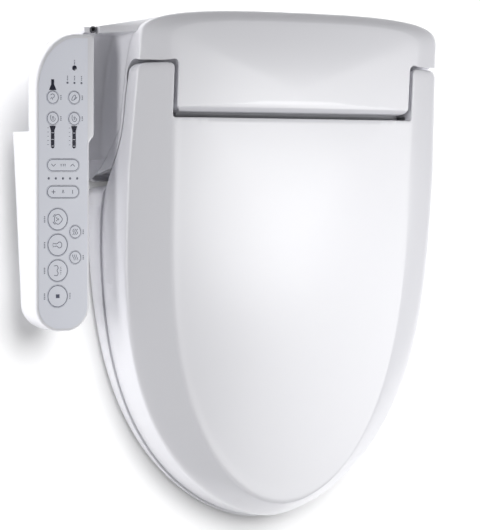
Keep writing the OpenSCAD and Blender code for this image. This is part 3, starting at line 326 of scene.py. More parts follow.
def rounded_box(x0, x1, y0, y1, radius, steps=8):
    a = np.radians(np.linspace(0, 90, steps + 1))
    corners = [(x1 - radius, y0 + radius, -90), (x1 - radius, y1 - radius, 0),
               (x0 + radius, y1 - radius, 90), (x0 + radius, y0 + radius, 180)]
    return np.vstack([np.column_stack([x + radius * np.cos(a + math.radians(t)),
                                       y + radius * np.sin(a + math.radians(t))])
                      for x, y, t in corners])


def outward(piece):
    mesh = bmesh.new()
    mesh.from_mesh(piece.data)
    bmesh.ops.recalc_face_normals(mesh, faces=mesh.faces)
    mesh.to_mesh(piece.data)
    mesh.free()
    return piece


def settle(piece):
    """Turns a piece's modifiers into plain mesh."""
    graph = bpy.context.evaluated_depsgraph_get()
    made = bpy.data.meshes.new_from_object(piece.evaluated_get(graph))
    piece.modifiers.clear()
    old = piece.data
    piece.data = made
    made.name = piece.name
    bpy.data.meshes.remove(old)
    return piece


def combine(piece, others, operation):
    for other in others:
        cut = piece.modifiers.new("Solid", "BOOLEAN")
        cut.operation, cut.solver, cut.object = operation, "MANIFOLD", other
        settle(piece)
    for other in others:
        bpy.data.meshes.remove(other.data)
    if not piece.data.polygons:
        raise RuntimeError(f"{piece.name} is empty after a cut")
    return piece


def carve(piece, *others):
    return combine(piece, others, "DIFFERENCE")


def fuse(piece, *others):
    return combine(piece, others, "UNION")


def twin(piece):
    """A copy of a piece, mirrored to the other side."""
    other = piece.copy()
    other.data = piece.data.copy()
    bpy.context.scene.collection.objects.link(other)
    other.data.transform(Matrix.Scale(-1, 4, (1, 0, 0)))
    return outward(other)


def both_sides(maker, name, *args):
    one = maker(name, *args)
    return [one, twin(one)]


def finish_piece(piece, body, material, replaces=(), smooth=32):
    """Gives a piece its material, shading, body and the nodes it stands for."""
    piece.data.materials.clear()
    piece.data.materials.append(material)
    piece.data.shade_smooth()
    piece.data.set_sharp_from_angle(angle=math.radians(smooth))
    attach(piece, body)
    if replaces:
        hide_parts(*replaces)
    return piece


# ---- finishes

def add_node(tree, kind, links=(), **values):
    """A node with its properties set, and its inputs linked or given a value."""
    made = tree.nodes.new(kind)
    for key, value in values.items():
        setattr(made, key, value)
    for socket, source in links:
        if isinstance(source, bpy.types.NodeSocket):
            tree.links.new(source, made.inputs[socket])
        else:
            made.inputs[socket].default_value = source
    return made


class Shader:
    """A material's nodes, made one after another."""

    def __init__(self, name):
        self.material = bpy.data.materials.get(name)
        self.fresh = self.material is None
        if self.fresh:
            self.material = bpy.data.materials.new(name)
            self.material.use_nodes = True
            self.tree = self.material.node_tree
            self.surface = self.tree.nodes["Principled BSDF"]
            self.place = self.tree.nodes.new("ShaderNodeTexCoord")

    def noise(self, scale, detail):
        made = add_node(self.tree, "ShaderNodeTexNoise", [
            ("Vector", self.place.outputs["Object"]), ("Scale", scale), ("Detail", detail)])
        return made.outputs["Fac"]

    def spread(self, source, low, high):
        """The middle of a noise's range, stretched from low to high."""
        made = add_node(self.tree, "ShaderNodeMapRange", [
            ("Value", source), ("From Min", 0.3), ("From Max", 0.7), ("To Min", low),
            ("To Max", high)])
        return made.outputs["Result"]

    def tint(self, source, first, second):
        made = add_node(self.tree, "ShaderNodeMix", [
            ("Factor", source), (6, (*first, 1)), (7, (*second, 1))], data_type="RGBA")
        return made.outputs[2]

    def join(self, source, socket):
        self.tree.links.new(source, self.surface.inputs[socket])

    def bump(self, source, strength, distance):
        made = add_node(self.tree, "ShaderNodeBump", [
            ("Height", source), ("Strength", strength), ("Distance", distance)])
        self.join(made.outputs["Normal"], "Normal")


def moulded(name, rgb, rough=0.3, swing=0.04, grain=900.0, depth=0.00004, coat=0.0,
            metallic=0.0, ior=1.5, flow=0.975):
    """Moulded plastic: faint flow shading, uneven gloss and a fine skin."""
    s = Shader(name)
    if not s.fresh:
        return s.material
    rgb = tuple(rgb)
    deep = tuple(c * flow for c in rgb)
    s.join(s.tint(s.spread(s.noise(9.0, 3.0), 0.0, 1.0), rgb, deep), "Base Color")
    s.join(s.spread(s.noise(55.0, 4.0), rough - swing, rough + swing), "Roughness")
    s.bump(s.noise(grain, 2.0), 0.25, depth)
    for socket, value in (("Metallic", metallic), ("IOR", ior), ("Coat Weight", coat),
                          ("Coat Roughness", 0.22)):
        s.surface.inputs[socket].default_value = value
    return s.material


def shell_finish():
    return moulded("gloss_shell", colours().shell, 0.33, 0.008, 1500.0, 0.000006, coat=0.5,
                   ior=1.52, flow=0.994)


def film_finish():
    return moulded("satin_film", colours().film, 0.42, 0.05, 2600.0, 0.00003)


def ink_finish():
    return moulded("printed_ink", colours().ink, 0.5, 0.05, 3000.0, 0.00001)


def window_finish():
    return moulded("smoked_window", colours().window, 0.18, 0.04, 700.0, 0.00001, coat=0.5)


def lamp_finish():
    return moulded("unlit_lamp", (0.13, 0.14, 0.19), 0.3, 0.04, 700.0, 0.00001)


def rubber_finish():
    return moulded("foot_rubber", colours().rubber, 0.72, 0.08, 1500.0, 0.0001)


def pale_rubber_finish():
    return moulded("pale_rubber", (0.62, 0.62, 0.63), 0.66, 0.08, 1500.0, 0.0001)


def metal_finish():
    return moulded("brushed_metal", colours().metal, 0.28, 0.08, 1800.0, 0.00004,
                   metallic=1.0)


def plain_finish(name, rgb, rough=0.5, metallic=0.0):
    return moulded(name, rgb, rough, 0.06, 1200.0, 0.00006, metallic=metallic)


# ---- repeating pieces

class Growth:
    """A geometry nodes tree with named inputs, used once to make a piece."""

    def __init__(self, name):
        self.group = bpy.data.node_groups.new(name, "GeometryNodeTree")
        self.start = self.group.nodes.new("NodeGroupInput")
        self.sockets = {}
        self.group.interface.new_socket(
            name="Geometry", in_out="OUTPUT", socket_type="NodeSocketGeometry")
        self.end = self.group.nodes.new("NodeGroupOutput")

    def ask(self, label, kind):
        made = self.group.interface.new_socket(
            name=label, in_out="INPUT", socket_type="NodeSocket" + kind)
        self.sockets[label] = made.identifier
        return self.start.outputs[label]

    def node(self, kind, links=(), **values):
        return add_node(self.group, kind, links, **values)

    def close(self, points, *links):
        """Copies of the shape on the points, made real and given their material."""
        shape = self.node("GeometryNodeObjectInfo", [
            ("Object", self.ask("Shape", "Object"))])
        copies = self.node("GeometryNodeInstanceOnPoints", [
            ("Points", points), ("Instance", shape.outputs["Geometry"]), *links])
        real = self.node("GeometryNodeRealizeInstances", [
            ("Geometry", copies.outputs["Instances"])])
        finish = self.node("GeometryNodeSetMaterial", [
            ("Geometry", real.outputs[0]), ("Material", self.ask("Material", "Material"))])
        self.group.links.new(finish.outputs[0], self.end.inputs["Geometry"])
        return self

    def grow(self, name, **values):
        piece = bpy.data.objects.new(name, bpy.data.meshes.new(name))
        bpy.context.scene.collection.objects.link(piece)
        nodes = piece.modifiers.new("Growth", "NODES")
        nodes.node_group = self.group
        for label, value in values.items():
            nodes[self.sockets[label.replace("_", " ")]] = value
        return settle(piece)


def row_tree():
    """Copies of a small shape along a straight row."""
    g = Growth("Row of copies")
    line = g.node("GeometryNodeMeshLine", [
        ("Count", g.ask("Count", "Int")), ("Start Location", g.ask("Start", "Vector")),
        ("Offset", g.ask("Offset", "Vector"))], mode="OFFSET")
    return g.close(line.outputs["Mesh"])


def corner_tree():
    """Copies of a small shape on four corners: a front pair and a rear pair."""
    g = Growth("Four copies")
    rows = []
    for end in ("Front", "Rear"):
        half = g.ask(end + " half pitch", "Vector")
        place = g.ask(end + " middle", "Vector")
        low = g.node("ShaderNodeVectorMath", [(0, place), (1, half)], operation="SUBTRACT")
        step = g.node("ShaderNodeVectorMath", [(0, half), (1, half)], operation="ADD")
        rows.append(g.node("GeometryNodeMeshLine", [
            ("Count", 2), ("Start Location", low.outputs[0]), ("Offset", step.outputs[0])],
            mode="OFFSET"))
    both = g.node("GeometryNodeJoinGeometry")
    for row in rows:
        g.group.links.new(row.outputs["Mesh"], both.inputs[0])
    return g.close(both.outputs[0])


def spoke_tree():
    """Copies of a blade or ray at equal turns round an upright axis."""
    g = Growth("Copies round an axis")
    count = g.ask("Count", "Int")
    points = g.node("GeometryNodePoints", [("Count", count)])
    index = g.node("GeometryNodeInputIndex")
    full = g.node("ShaderNodeMath", [(0, 2 * math.pi), (1, count)], operation="DIVIDE")
    turn = g.node("ShaderNodeMath", [(0, index.outputs[0]), (1, full.outputs[0])],
                  operation="MULTIPLY")
    spin = g.node("ShaderNodeCombineXYZ", [("Z", turn.outputs[0])])
    return g.close(points.outputs[0], ("Rotation", spin.outputs[0]))


def discard(*pieces):
    for piece in pieces:
        bpy.data.meshes.remove(piece.data)


# ---- lid

def lid_solid(form):
    ring, edge, shoulder = form.lid_ring, form.edge_z, form.shoulder_z
    crown = form.lid_crown * 1.02
    low = [lifted(ring(0, 0.4), edge), lifted(ring(0, -0.25), edge, 0.2)]
    keys = [
        lifted(ring(0, -0.5), edge, 1.6), lifted(ring(0, 0), shoulder, -5),
        lifted(ring(0.015, 0), shoulder, -0.8), lifted(ring(0.09, 0), form.bevel(0.13)),
        lifted(ring(0.5, 0), form.bevel(0.54), 0.8),
        lifted(ring(0.92, 0), form.bevel(0.94), 0.3), lifted(ring(1, 0), form.crease_z)]
    keys += [lifted(shrunk(ring(1, 0), k, LID_MIDDLE), form.crease_z, crown * (1 - k * k))
             for k in (0.93, 0.8, 0.65, 0.5, 0.35, 0.2, 0.06)]
    return closed_stack("lid_cover", low + smooth_rings(keys, 5),
                        (0, LID_MIDDLE, edge(LID_MIDDLE)),
                        (0, LID_MIDDLE, form.crease_z(LID_MIDDLE) + crown))


def lid_hollow(form):
    ring, crown, wall, low = form.lid_ring, form.lid_crown, form.lid_wall, -20
    keys = [
        lifted(ring(0, wall), form.shoulder_z, -6),
        lifted(ring(0.5, wall * 0.8), form.bevel(0.54), -wall),
        lifted(ring(1, wall * 0.5), form.crease_z, -wall)]
    for k in (0.85, 0.6, 0.3):
        keys.append(lifted(shrunk(ring(1, wall * 0.5), k, LID_MIDDLE),
                           lambda y, k=k: form.crease_z(y) + crown * (1 - k * k) - wall))
    rings = [lifted(ring(0, wall), low)] + smooth_rings(keys, 4)
    return closed_stack("lid_hollow", rings, (0, LID_MIDDLE, low),
                        (0, LID_MIDDLE, form.crease_z(LID_MIDDLE) + crown - wall))


def rolled_cut(name, ring, target, radius, low, fallback):
    """An upright cutter whose wall rolls over the target's top edge."""
    tree = BVHTree.FromObject(target, bpy.context.evaluated_depsgraph_get())
    ahead, back = np.roll(ring, -1, 0), np.roll(ring, 1, 0)
    along = ahead - back
    normal = np.column_stack([along[:, 1], -along[:, 0]])
    normal /= np.linalg.norm(normal, axis=1)[:, None]

    def top(points):
        z = []
        for x, y in points:
            hit = tree.ray_cast(Vector((x / 1000, y / 1000, 1)), Vector((0, 0, -1)))[0]
            z.append(hit.z * 1000 if hit else fallback(x, y))
        return np.array(z)

    rings = [lifted(ring, low)]
    for a in np.radians([0, 15, 30, 45, 60, 75]):
        at = ring + normal * radius * (1 - math.cos(a))
        rings.append(np.column_stack([at, top(at) - radius * (1 - math.sin(a))]))
    at = ring + normal * radius * 1.4
    rings.append(np.column_stack([at, top(at) + radius * 0.16]))
    rings.append(np.column_stack([at, np.full(len(ring), 300.0)]))
    return new_piece(name, np.vstack(rings), capped_faces(len(rings), len(ring)))


def even_steps(ring, step):
    """The closed outline again, with points at about equal steps."""
    loop = np.vstack([ring, ring[:1]])
    run = np.concatenate([[0], np.cumsum(np.linalg.norm(np.diff(loop, axis=0), axis=1))])
    at = np.linspace(0, run[-1], int(run[-1] / step), endpoint=False)
    return np.column_stack([np.interp(at, run, loop[:, 0]), np.interp(at, run, loop[:, 1])])


def hinge_bar(name, x0, x1, radius, radius2=None):
    return turned(name, [(0, 0), (radius, 0), (radius2 or radius, x1 - x0), (0, x1 - x0)],
                  (x0, HINGE_Y, HINGE_Z), ACROSS, 72)


# the notch in the lid, and the radius at the inner rear of its arms
NOTCH_HALF, NOTCH_FRONT, ARM_INNER = 145.3, 47.6, 5.0
# the housing's lip that fills the notch
LIP_HALF, LIP_FRONT, LIP_CORNER = 140.5, 41.8, 8.0
# the hollow behind an arm: radius at the lip, fall, end and gap to the arm
SCOOP, SCOOP_TAPER, SCOOP_END, SCOOP_GAP = 26.2, 0.205, 205.0, 2.5
# the bumpers' posts under the lid
POSTS = [(-122, -150), (122, -150), (-80, -375), (80, -375)]


def scoop_radius(x):
    """Radius of the hollow behind the lid's arms, at a distance from the middle."""
    return SCOOP - SCOOP_TAPER * (x - LIP_HALF)


def notch_ring():
    """Plan of the notch, its rear corners rounded into the lid's arms."""
    front = rounded_box(-NOTCH_HALF, NOTCH_HALF, -NOTCH_FRONT, 60, 2.5)
    a = np.radians(np.linspace(180, 90, 9))
    turn = np.column_stack([NOTCH_HALF + ARM_INNER + ARM_INNER * np.cos(a),
                            ARM_END - ARM_INNER + ARM_INNER * np.sin(a)])
    rear = np.vstack([turn, [[NOTCH_HALF + ARM_INNER, 60]]])
    return np.vstack([front[:9], rear, rear[::-1] * [-1, 1], front[27:]])


def arm_end_cuts():
    """What trims the ends of the lid's arms to turn about the hinge."""
    end = block("end", NOTCH_HALF - 1, 210, HINGE_Y, 40, 0, 200)
    core = hinge_bar("core", NOTCH_HALF - 2, 211, scoop_radius(NOTCH_HALF - 2) - SCOOP_GAP,
                     scoop_radius(211) - SCOOP_GAP)
    carve(end, core)
    return [end, twin(end)]


def make_lid(form):
    lid = lid_solid(form)
    wall = form.lid_wall
    hollow = carve(lid_hollow(form), prism(
        "notch_wall", rounded_box(-NOTCH_HALF - wall, NOTCH_HALF + wall,
                                  -NOTCH_FRONT - wall, 60, 6), -50, 250))
    notch = rolled_cut("notch", even_steps(notch_ring(), 1.5), lid, 1.2, -50,
                       lambda x, y: form.bevel(0.9)(y))
    carve(lid, hollow)
    fuse(lid, *[rod("post", 5, form.seat_z(y + 8) + 6.4, form.crease_z(y) - 1, (x, y, 0),
                    steps=32) for x, y in POSTS])
    front = block("notch_floor", -NOTCH_HALF - wall, NOTCH_HALF + wall,
                  -NOTCH_FRONT - wall - 1, -NOTCH_FRONT + 5, -50,
                  form.crease_z(-NOTCH_FRONT) - 12)
    bores = both_sides(hinge_bar, "bore", NOTCH_HALF - 1, NOTCH_HALF + wall + 1, 7)
    ways = both_sides(block, "way", NOTCH_HALF + wall - 0.01, 162.4, 0, 20, 50, HINGE_Z - 3)
    carve(lid, notch, *arm_end_cuts(), front, *bores, *ways)
    finish_piece(lid, "lid", shell_finish(), ["lid_shell"])


# ---- seat

def make_seat(form):
    ring, hole, wall = form.seat_ring, form.hole_ring, form.lid_wall
    edge, face = form.edge_z, form.seat_z
    top = [
        lifted(ring(wall + 2), edge, -0.35), lifted(ring(wall + 3.5), face, -9),
        lifted(ring(wall + 7), face, -2.5), lifted(ring(wall + 15), face),
        lifted(hole(-14), face, -2), lifted(hole(-4), face, -6), lifted(hole(0), face, -13),
        lifted(hole(-3), 7.5)]
    foot = [
        lifted(hole(-4), 6), lifted(ring(-0.4), 6), lifted(ring(-2.0), 6.3),
        lifted(ring(-2.4), 7), lifted(ring(-2.4), edge, -0.7),
        lifted(ring(-2.25), edge, -0.45), lifted(ring(-1.7), edge, -0.35)]
    seat = closed_loop("seat_ring", foot + smooth_rings(top, 5))
    under = closed_loop("seat_hollow", [
        lifted(ring(wall + 7), -10), lifted(ring(wall + 7), face, -11),
        lifted(ring(wall + 17), face, -3), lifted(hole(-15), face, -5),
        lifted(hole(-8), face, -14), lifted(hole(-8), -10)])
    outward(seat)
    carve(seat, outward(under), block("tunnel", -92, 92, -162, 0, -20, 27))
    finish_piece(seat, "seat", shell_finish(), ["seat_top"])


# ---- housing

def housing_solid(form, inset, low):
    """The housing's outer form, or its inside where it is inset by the wall."""
    ring, crown, crease = form.housing_ring, form.housing_crown * 1.05, form.crease_z
    # part of the way to the crease, height there, and the bevel's swell
    rows = ((0, form.shoulder_z, -5), (0.02, form.shoulder_z, -0.8),
            (0.10, form.bevel(0.15), 0), (0.30, form.bevel(0.33), 1),
            (0.60, form.bevel(0.64), 1.4), (0.85, form.bevel(0.88), 0.8), (1, crease, 0))
    keys = [lifted(ring(f, inset), lambda y, z=z, up=up: z(y) + up - inset)
            for f, z, up in rows]
    for k in (0.86, 0.7, 0.5, 0.3, 0.1):
        keys.append(lifted(shrunk(ring(1, inset), k, HOUSING_MIDDLE),
                           lambda y, k=k: crease(y) + crown * (1 - k * k) - inset))
    rings = [lifted(ring(0, inset), low)] + smooth_rings(keys, 5)
    return closed_stack("housing", rings, (0, HOUSING_MIDDLE, low),
                        (0, HOUSING_MIDDLE, crease(HOUSING_MIDDLE) + crown - inset))


def apron_profile(shift, roll_by=14, roll_z=112.6):
    """Side view of the cut over the apron, which rolls over the lip's front edge."""
    a = np.radians(np.linspace(180, 98, 14))
    roll = [(-LIP_FRONT + roll_by + roll_by * math.cos(t), roll_z + roll_by * math.sin(t))
            for t in a]
    profile = [(-300, 42), (-99, 42), (-LIP_FRONT - 6, 98), (-LIP_FRONT, 105)] + roll
    profile += [(-LIP_FRONT + 18, 300), (-300, 300)]
    return [(y + shift, z - shift * 0.5) for y, z in profile]


def scoop(name, grow):
    """The hollow behind a lid arm; with no growth it is rounded where it meets the lip."""
    if grow:
        return hinge_bar(name, LIP_HALF - grow, SCOOP_END, SCOOP + grow,
                         scoop_radius(SCOOP_END) + grow)
    deep, round_by = 6.8, 6.0
    profile = [(0, 0)]
    for a in np.radians(np.linspace(0, 90, 11)):
        x = deep * (1 - math.cos(a))
        profile.append((scoop_radius(LIP_HALF + x) - round_by * (1 - math.sin(a)), x))
    end = SCOOP_END - LIP_HALF
    profile += [(scoop_radius(SCOOP_END), end), (0, end)]
    return turned(name, profile, (LIP_HALF, HINGE_Y, HINGE_Z), ACROSS, 96)


def lip_corner(name, grow):
    """What rounds a front corner of the lip in plan."""
    x, y, r = LIP_HALF - LIP_CORNER, -LIP_FRONT + LIP_CORNER, LIP_CORNER - grow
    square = block(name, x, LIP_HALF + 0.5, y - LIP_CORNER - 4, y, 100, 160)
    return carve(square, prism("round", disc_ring(x, y, r, 64), 99, 161))


def housing_cuts(form, grow):
    """The apron under the lid, the hollows for the arms and the side above the fins."""
    deep = [(-300, 20), (-99, 20), (-98, 22), (-14, 88), (HINGE_Y, 93), (HINGE_Y, 300),
            (-300, 300)]
    deep = [(y + grow * 0.6, z - grow) for y, z in deep]
    fin = [(-300, 16), (-100.5, 16), (-98, 40)]
    fin += [(y, form.edge_z(y) - 2.5) for y in np.arange(-95, HINGE_Y, 2.0)]
    fin += [(HINGE_Y, form.edge_z(HINGE_Y) - 2.5), (HINGE_Y, 300), (-300, 300)]
    fin = [(y, z - grow) for y, z in fin]
    cuts = [along_x("apron", apron_profile(grow), -LIP_HALF - 1, LIP_HALF + 1)]
    cuts += both_sides(along_x, "deep", deep, LIP_HALF - grow, 178.5 + grow)
    cuts += both_sides(along_x, "fin", fin, 178.4, 210)
    cuts += both_sides(scoop, "scoop", grow)
    cuts += both_sides(lip_corner, "corner", grow)
    return cuts


FEET = [(-150, -80), (150, -80), (-150, 30), (150, 30)]
SCREWS = [(-120, 45), (120, 45), (-160, -30), (160, -30)]
# (y, z) of the water inlet and of the release button in the side wall
INLET, BUTTON = (8, 26), (-34, 20)


def make_housing(form):
    cover = housing_solid(form, 0, 40.4)
    cover.name = "housing_cover"
    inner = carve(housing_solid(form, 3, 35), *housing_cuts(form, 3))
    bores = both_sides(hinge_bar, "bore", LIP_HALF - 4, LIP_HALF + 1, 4.05)
    opening = block("opening", -26, 26, -105, -88, 0, 41)
    carve(cover, inner, *housing_cuts(form, 0), *bores, opening)
    finish_piece(cover, "housing", shell_finish(), ["top_cover"])

    base = prism("housing_base", form.housing_ring(0, 0), 4.6, 40)
    fuse(base, prism("toe", rounded_box(-186.5, 186.5, 5.6 - SEAT_REAR, -80, 6), 4.6, 13))
    hollow = carve(prism("hollow", form.housing_ring(0, 3), 7.6, 88),
                   *housing_cuts(form, 3), block("roof", -106, 106, -51, 200, 0, 14.4))
    holes = [
        block("channel", -96.4, 96.4, -48, 200, 0, 11.4),
        block("ledge", -103, 103, -48, 200, 6.8, 11.4),
        block("nozzle_way", -21, 21, -120, -96, 7.6, 27),
        block("nozzle_front", -21, 21, -120, -100, 3.6, 27),
        block("dryer_way", 40, 76, -120, -96, 8.5, 26.5),
        rod("inlet_way", 11.78, 0, 120, (120, *INLET), ACROSS),
        rod("button_way", 9.3, 0, 120, (120, *BUTTON), ACROSS),
        rod("wire_way", 7, 0, 30, (-170, -20, 25), (-1, 0, 0))]
    holes += [rod("foot_way", 5.1, 0, 5.8, (x, y, 0), steps=32) for x, y in FEET]
    holes += [rod("screw_way", 2.1, 0, 42, (x, y, 0), steps=24) for x, y in SCREWS]
    carve(base, hollow, *housing_cuts(form, 0), *holes)
    finish_piece(base, "housing", shell_finish(), ["base_case"])


# ---- control arm

# the arm's inner side at the rear and the front, its two ends and its front corners
ARM_IN_REAR, ARM_IN_FRONT, ARM_FRONT, ARM_REAR, ARM_CORNER = 219.0, 224.5, 204.6, 94.0, 26.0
# its rounded outer rear, where the inner side steps in, and the frame's height
REAR_RX, REAR_RY, CHAMFER, BEZEL = 46.0, 57.0, -8.0, 9.0
# the film's inner side, and the rim round it
LABEL_IN, RIM = 227.0, 2.7


def arc(cx, cy, rx, ry, a0, a1, n):
    a = np.radians(np.linspace(a0, a1, n + 1))
    return np.column_stack([cx + rx * np.cos(a), cy + ry * np.sin(a)])


def corner_arc(x, r, start):
    """A quarter turn of a front corner of the arm."""
    return arc(x, -ARM_FRONT + ARM_CORNER, r, r, start, start + 90, 24)


def arm_front_ring(form, d, rear):
    out = form.arm_outer
    side = np.linspace(rear, -ARM_FRONT + ARM_CORNER + 4, 24)
    return np.vstack([
        np.column_stack([np.full(24, -out + d), side]),
        corner_arc(-out + ARM_CORNER, ARM_CORNER - d, 180),
        corner_arc(-ARM_IN_FRONT - ARM_CORNER, ARM_CORNER - d, 270),
        np.column_stack([np.full(24, -ARM_IN_FRONT - d),
                         np.linspace(-ARM_FRONT + ARM_CORNER + 4, rear, 24)])])


def arm_ring(form, d):
    out = form.arm_outer
    front = arm_front_ring(form, d, CHAMFER - 9 - d * 0.4)[:-1]
    s = np.linspace(0, 1, 9)[:, None]
    a = np.array([-ARM_IN_FRONT - d, CHAMFER - 7 - d * 0.4])
    b = np.array([-ARM_IN_REAR - d, CHAMFER + 1 - d * 0.4])
    t = s * s * (3 - 2 * s)
    bend = np.column_stack([lerp(a[0], b[0], t), lerp(a[1] - 1, b[1] + 1, s)])
    rear = max(0.3, 4 - d * 0.7)
    return np.vstack([
        front, bend,
        arc(-ARM_IN_REAR - d - rear, ARM_REAR - d - rear, rear, rear, 0, 90, 6),
        arc(-out + REAR_RX, ARM_REAR - REAR_RY, REAR_RX - d, REAR_RY - d, 90, 180, 40)])


def label_ring(form, g):
    out = form.arm_outer
    return np.vstack([
        [[-LABEL_IN - g, ARM_REAR - RIM - 1.3 - g]],
        arc(-out + REAR_RX, ARM_REAR - REAR_RY, REAR_RX - RIM - g, REAR_RY - RIM - 1.3 - g,
            90, 180, 40),
        corner_arc(-out + ARM_CORNER, ARM_CORNER - RIM - g, 180),
        corner_arc(-LABEL_IN - ARM_CORNER + RIM, ARM_CORNER - RIM - g, 270)])


def panel_stack(form, name, rings, middle):
    """A closed solid on the panel's slope, through rings of (outline, height)."""
    size = len(rings[0][0])
    solid = [np.column_stack([r, np.full(size, z) if np.isscalar(z) else z])
             for r, z in rings]
    ends = [(*middle, float(np.mean(solid[0][:, 2]))), (*middle, float(solid[-1][0][2]))]
    placed = [form.on_panel(r) for r in solid]
    ends = form.on_panel(ends)
    return closed_stack(name, placed, ends[0], ends[1])


def panel_prism(form, name, ring, low, high):
    return prism(name, ring, low, high, form.on_panel)


def disc_ring(x, y, r, steps=48):
    return arc(x, y, r, r, 0, 360 - 360 / steps, steps - 1)


def slot_ring(x, y, long, wide):
    r, h = wide / 2, (long - wide) / 2
    return np.vstack([arc(x + h, y, r, r, -90, 90, 16), arc(x - h, y, r, r, 90, 270, 16)])


BIG_R, SMALL_R, PITCH = 11.4, 6.8, 25.73
BIG_KEYS = ("key_rear", "key_front", "key_dry", "key_stop")
# the two columns of small keys, each with a strength window below it
COLUMNS = (-266, -242.2)
# middle of each key on the panel's slope, and its radius
KEYS = {name: (-260.5, -91.9 - i * PITCH, BIG_R) for i, name in enumerate(BIG_KEYS)}
KEYS.update({
    "key_a": (COLUMNS[0], 30.1, SMALL_R), "key_b": (COLUMNS[1], 30.1, SMALL_R),
    "key_c": (COLUMNS[0], 9, SMALL_R), "key_d": (COLUMNS[1], 9, SMALL_R),
    "key_e": (-241, -104.7, SMALL_R), "key_f": (-241, -104.7 - PITCH, SMALL_R)})
ROCKERS = {"rocker_upper": -37.7, "rocker_lower": -64.4}
ROCKER_X, ROCKER_L, ROCKER_W, ROCKER_TOP = -254.5, 36.4, 13.0, 0.33
# three rows of lamps as (x, y, radius): above the keys, between the rockers, the sensor
LAMP_X, LAMP_PITCH, LEVEL_PITCH = -241.8, 7.8, 7.9
LAMPS = ([(LAMP_X + i * LAMP_PITCH, 44.8, 1.1) for i in (-1, 0, 1)]
         + [(ROCKER_X + i * LEVEL_PITCH, -51.0, 1.2) for i in (-2, -1, 0, 1, 2)]
         + [(LAMP_X, 59.8, 2.6)])


def window_rings(g):
    """Outlines of the two strength windows and of the tapered mark, grown by g."""
    rings = []
    for x in COLUMNS:
        end = arc(x, 9 - 28, 1.9 + g, 1.9 + g, 180, 360, 16)
        rings.append(np.vstack([[(x - 3.4 - g, 1.6 + g), (x - 1.9 - g, -3.3)], end,
                                [(x + 1.9 + g, -3.3), (x + 3.4 + g, 1.6 + g)]]))
    x, y = KEYS["key_a"][:2]
    rings.append(np.array([
        (x - 1.6 - g, y + 17.8 + g), (x - 1.6 - g, y + 12.8), (x - 4 - g, y + 7.2 - g),
        (x + 4 + g, y + 7.2 - g), (x + 1.6 + g, y + 12.8), (x + 1.6 + g, y + 17.8 + g)]))
    return rings


def panel_holes(form, gap, slack):
    """Cutters for keys and rockers, with a gap, and for lamps and windows, with slack."""
    rings = [disc_ring(x, y, r + gap) for x, y, r in KEYS.values()]
    rings += [slot_ring(ROCKER_X, y, ROCKER_L + 2 * gap, ROCKER_W + 2 * gap)
              for y in ROCKERS.values()]
    rings += [disc_ring(x, y, r + slack, 24) for x, y, r in LAMPS] + window_rings(slack)
    return [panel_prism(form, "hole", ring, -20, 10) for ring in rings]


# the ledge behind the arm's bridge: its front edge, its rear at the arm and its rise
LEDGE_Y, LEDGE_REAR, LEDGE_LIFT = 39.4, 45.0, 22.0
BRIDGE_FRONT, BRIDGE_TOE = -86.0, 6.2 - SEAT_REAR


def valley_height(y):
    """Height of the bridge's lowest line."""
    return 57 + 0.18 * (y + 35) + 12 * math.exp((y - 39) / 14)


def bridge_height(form, y, t):
    """Valley of the bridge: t runs from the housing to the arm."""
    if y < BRIDGE_FRONT:
        return lerp(12, valley_height(BRIDGE_FRONT),
                    ((y - BRIDGE_TOE) / (BRIDGE_FRONT - BRIDGE_TOE)) ** 0.75)
    z = (valley_height(y) + 26 * (max(0, 0.28 - t) / 0.28) ** 2.2 * min(1, (y + 86) / 30)
         + 10 * (max(0, t - 0.75) / 0.25) ** 2)
    roof = form.arm_height + (y + 57) * math.tan(form.arm_slope) - BEZEL - 1
    return min(roof + 24 * max(0, 1 - 3 * t), z)


def ledge_height(form, t):
    return form.arm_height + 2 + LEDGE_LIFT * (1 - t) ** 1.6


def bridge_rows():
    """Rows from the rear of the ledge to the toe, as (y, part of the ledge's face)."""
    rows = [(y, 1.0) for y in np.linspace(55.7, LEDGE_Y, 15)]
    rows += [(LEDGE_Y - d, f) for d, f in (
        (0.25, 0.93), (0.55, 0.7), (0.8, 0.4), (1.1, 0.16), (1.7, 0.05), (2.5, 0.0))]
    rows += [(y, 0.0) for y in np.linspace(35.5, BRIDGE_FRONT, 76)]
    toe = np.sin(np.radians(np.linspace(0, 90, 11)[1:]))
    return rows + [(lerp(BRIDGE_FRONT, BRIDGE_TOE, f), 0.0) for f in toe]


def bridge_solid(form):
    half = form.housing_ring(0, 0)[:94]
    rows, columns = bridge_rows(), 26
    top, bottom = [], []
    for y, face in rows:
        inner = -0.3 - np.interp(y, half[:, 1], half[:, 0])
        for i in range(columns + 1):
            t = min(1, i / (columns - 1))
            x = lerp(inner, -ARM_IN_REAR - 0.5, t) if i < columns else -ARM_IN_REAR - 9
            place = y
            if y > LEDGE_Y:
                fan = (y - LEDGE_Y) / (rows[0][0] - LEDGE_Y)
                place = lerp(y, lerp(LEDGE_Y, LEDGE_REAR, fan), t)
            z = lerp(bridge_height(form, min(y, 36.9), t), ledge_height(form, t), face)
            if y == rows[0][0]:
                z -= 0.8
            top.append((x, place, z))
            bottom.append((x, place, 10))
    width = columns + 1
    n = len(rows) * width
    faces = []
    for j in range(len(rows) - 1):
        for i in range(columns):
            a, b = j * width + i, (j + 1) * width + i
            faces += [(a, a + 1, b + 1, b), (n + a, n + b, n + b + 1, n + a + 1)]
        a, b = j * width, (j + 1) * width
        faces += [(a, b, n + b, n + a), (a + columns, n + a + columns, n + b + columns,
                                         b + columns)]
    for i in range(columns):
        a = (len(rows) - 1) * width + i
        faces += [(i, n + i, n + i + 1, i + 1), (a, a + 1, n + a + 1, n + a)]
    return outward(new_piece("bridge", top + bottom, faces))


GLAND_X, GLAND_Y, GLAND_DEEP = -216.8, 42.9, 5.0


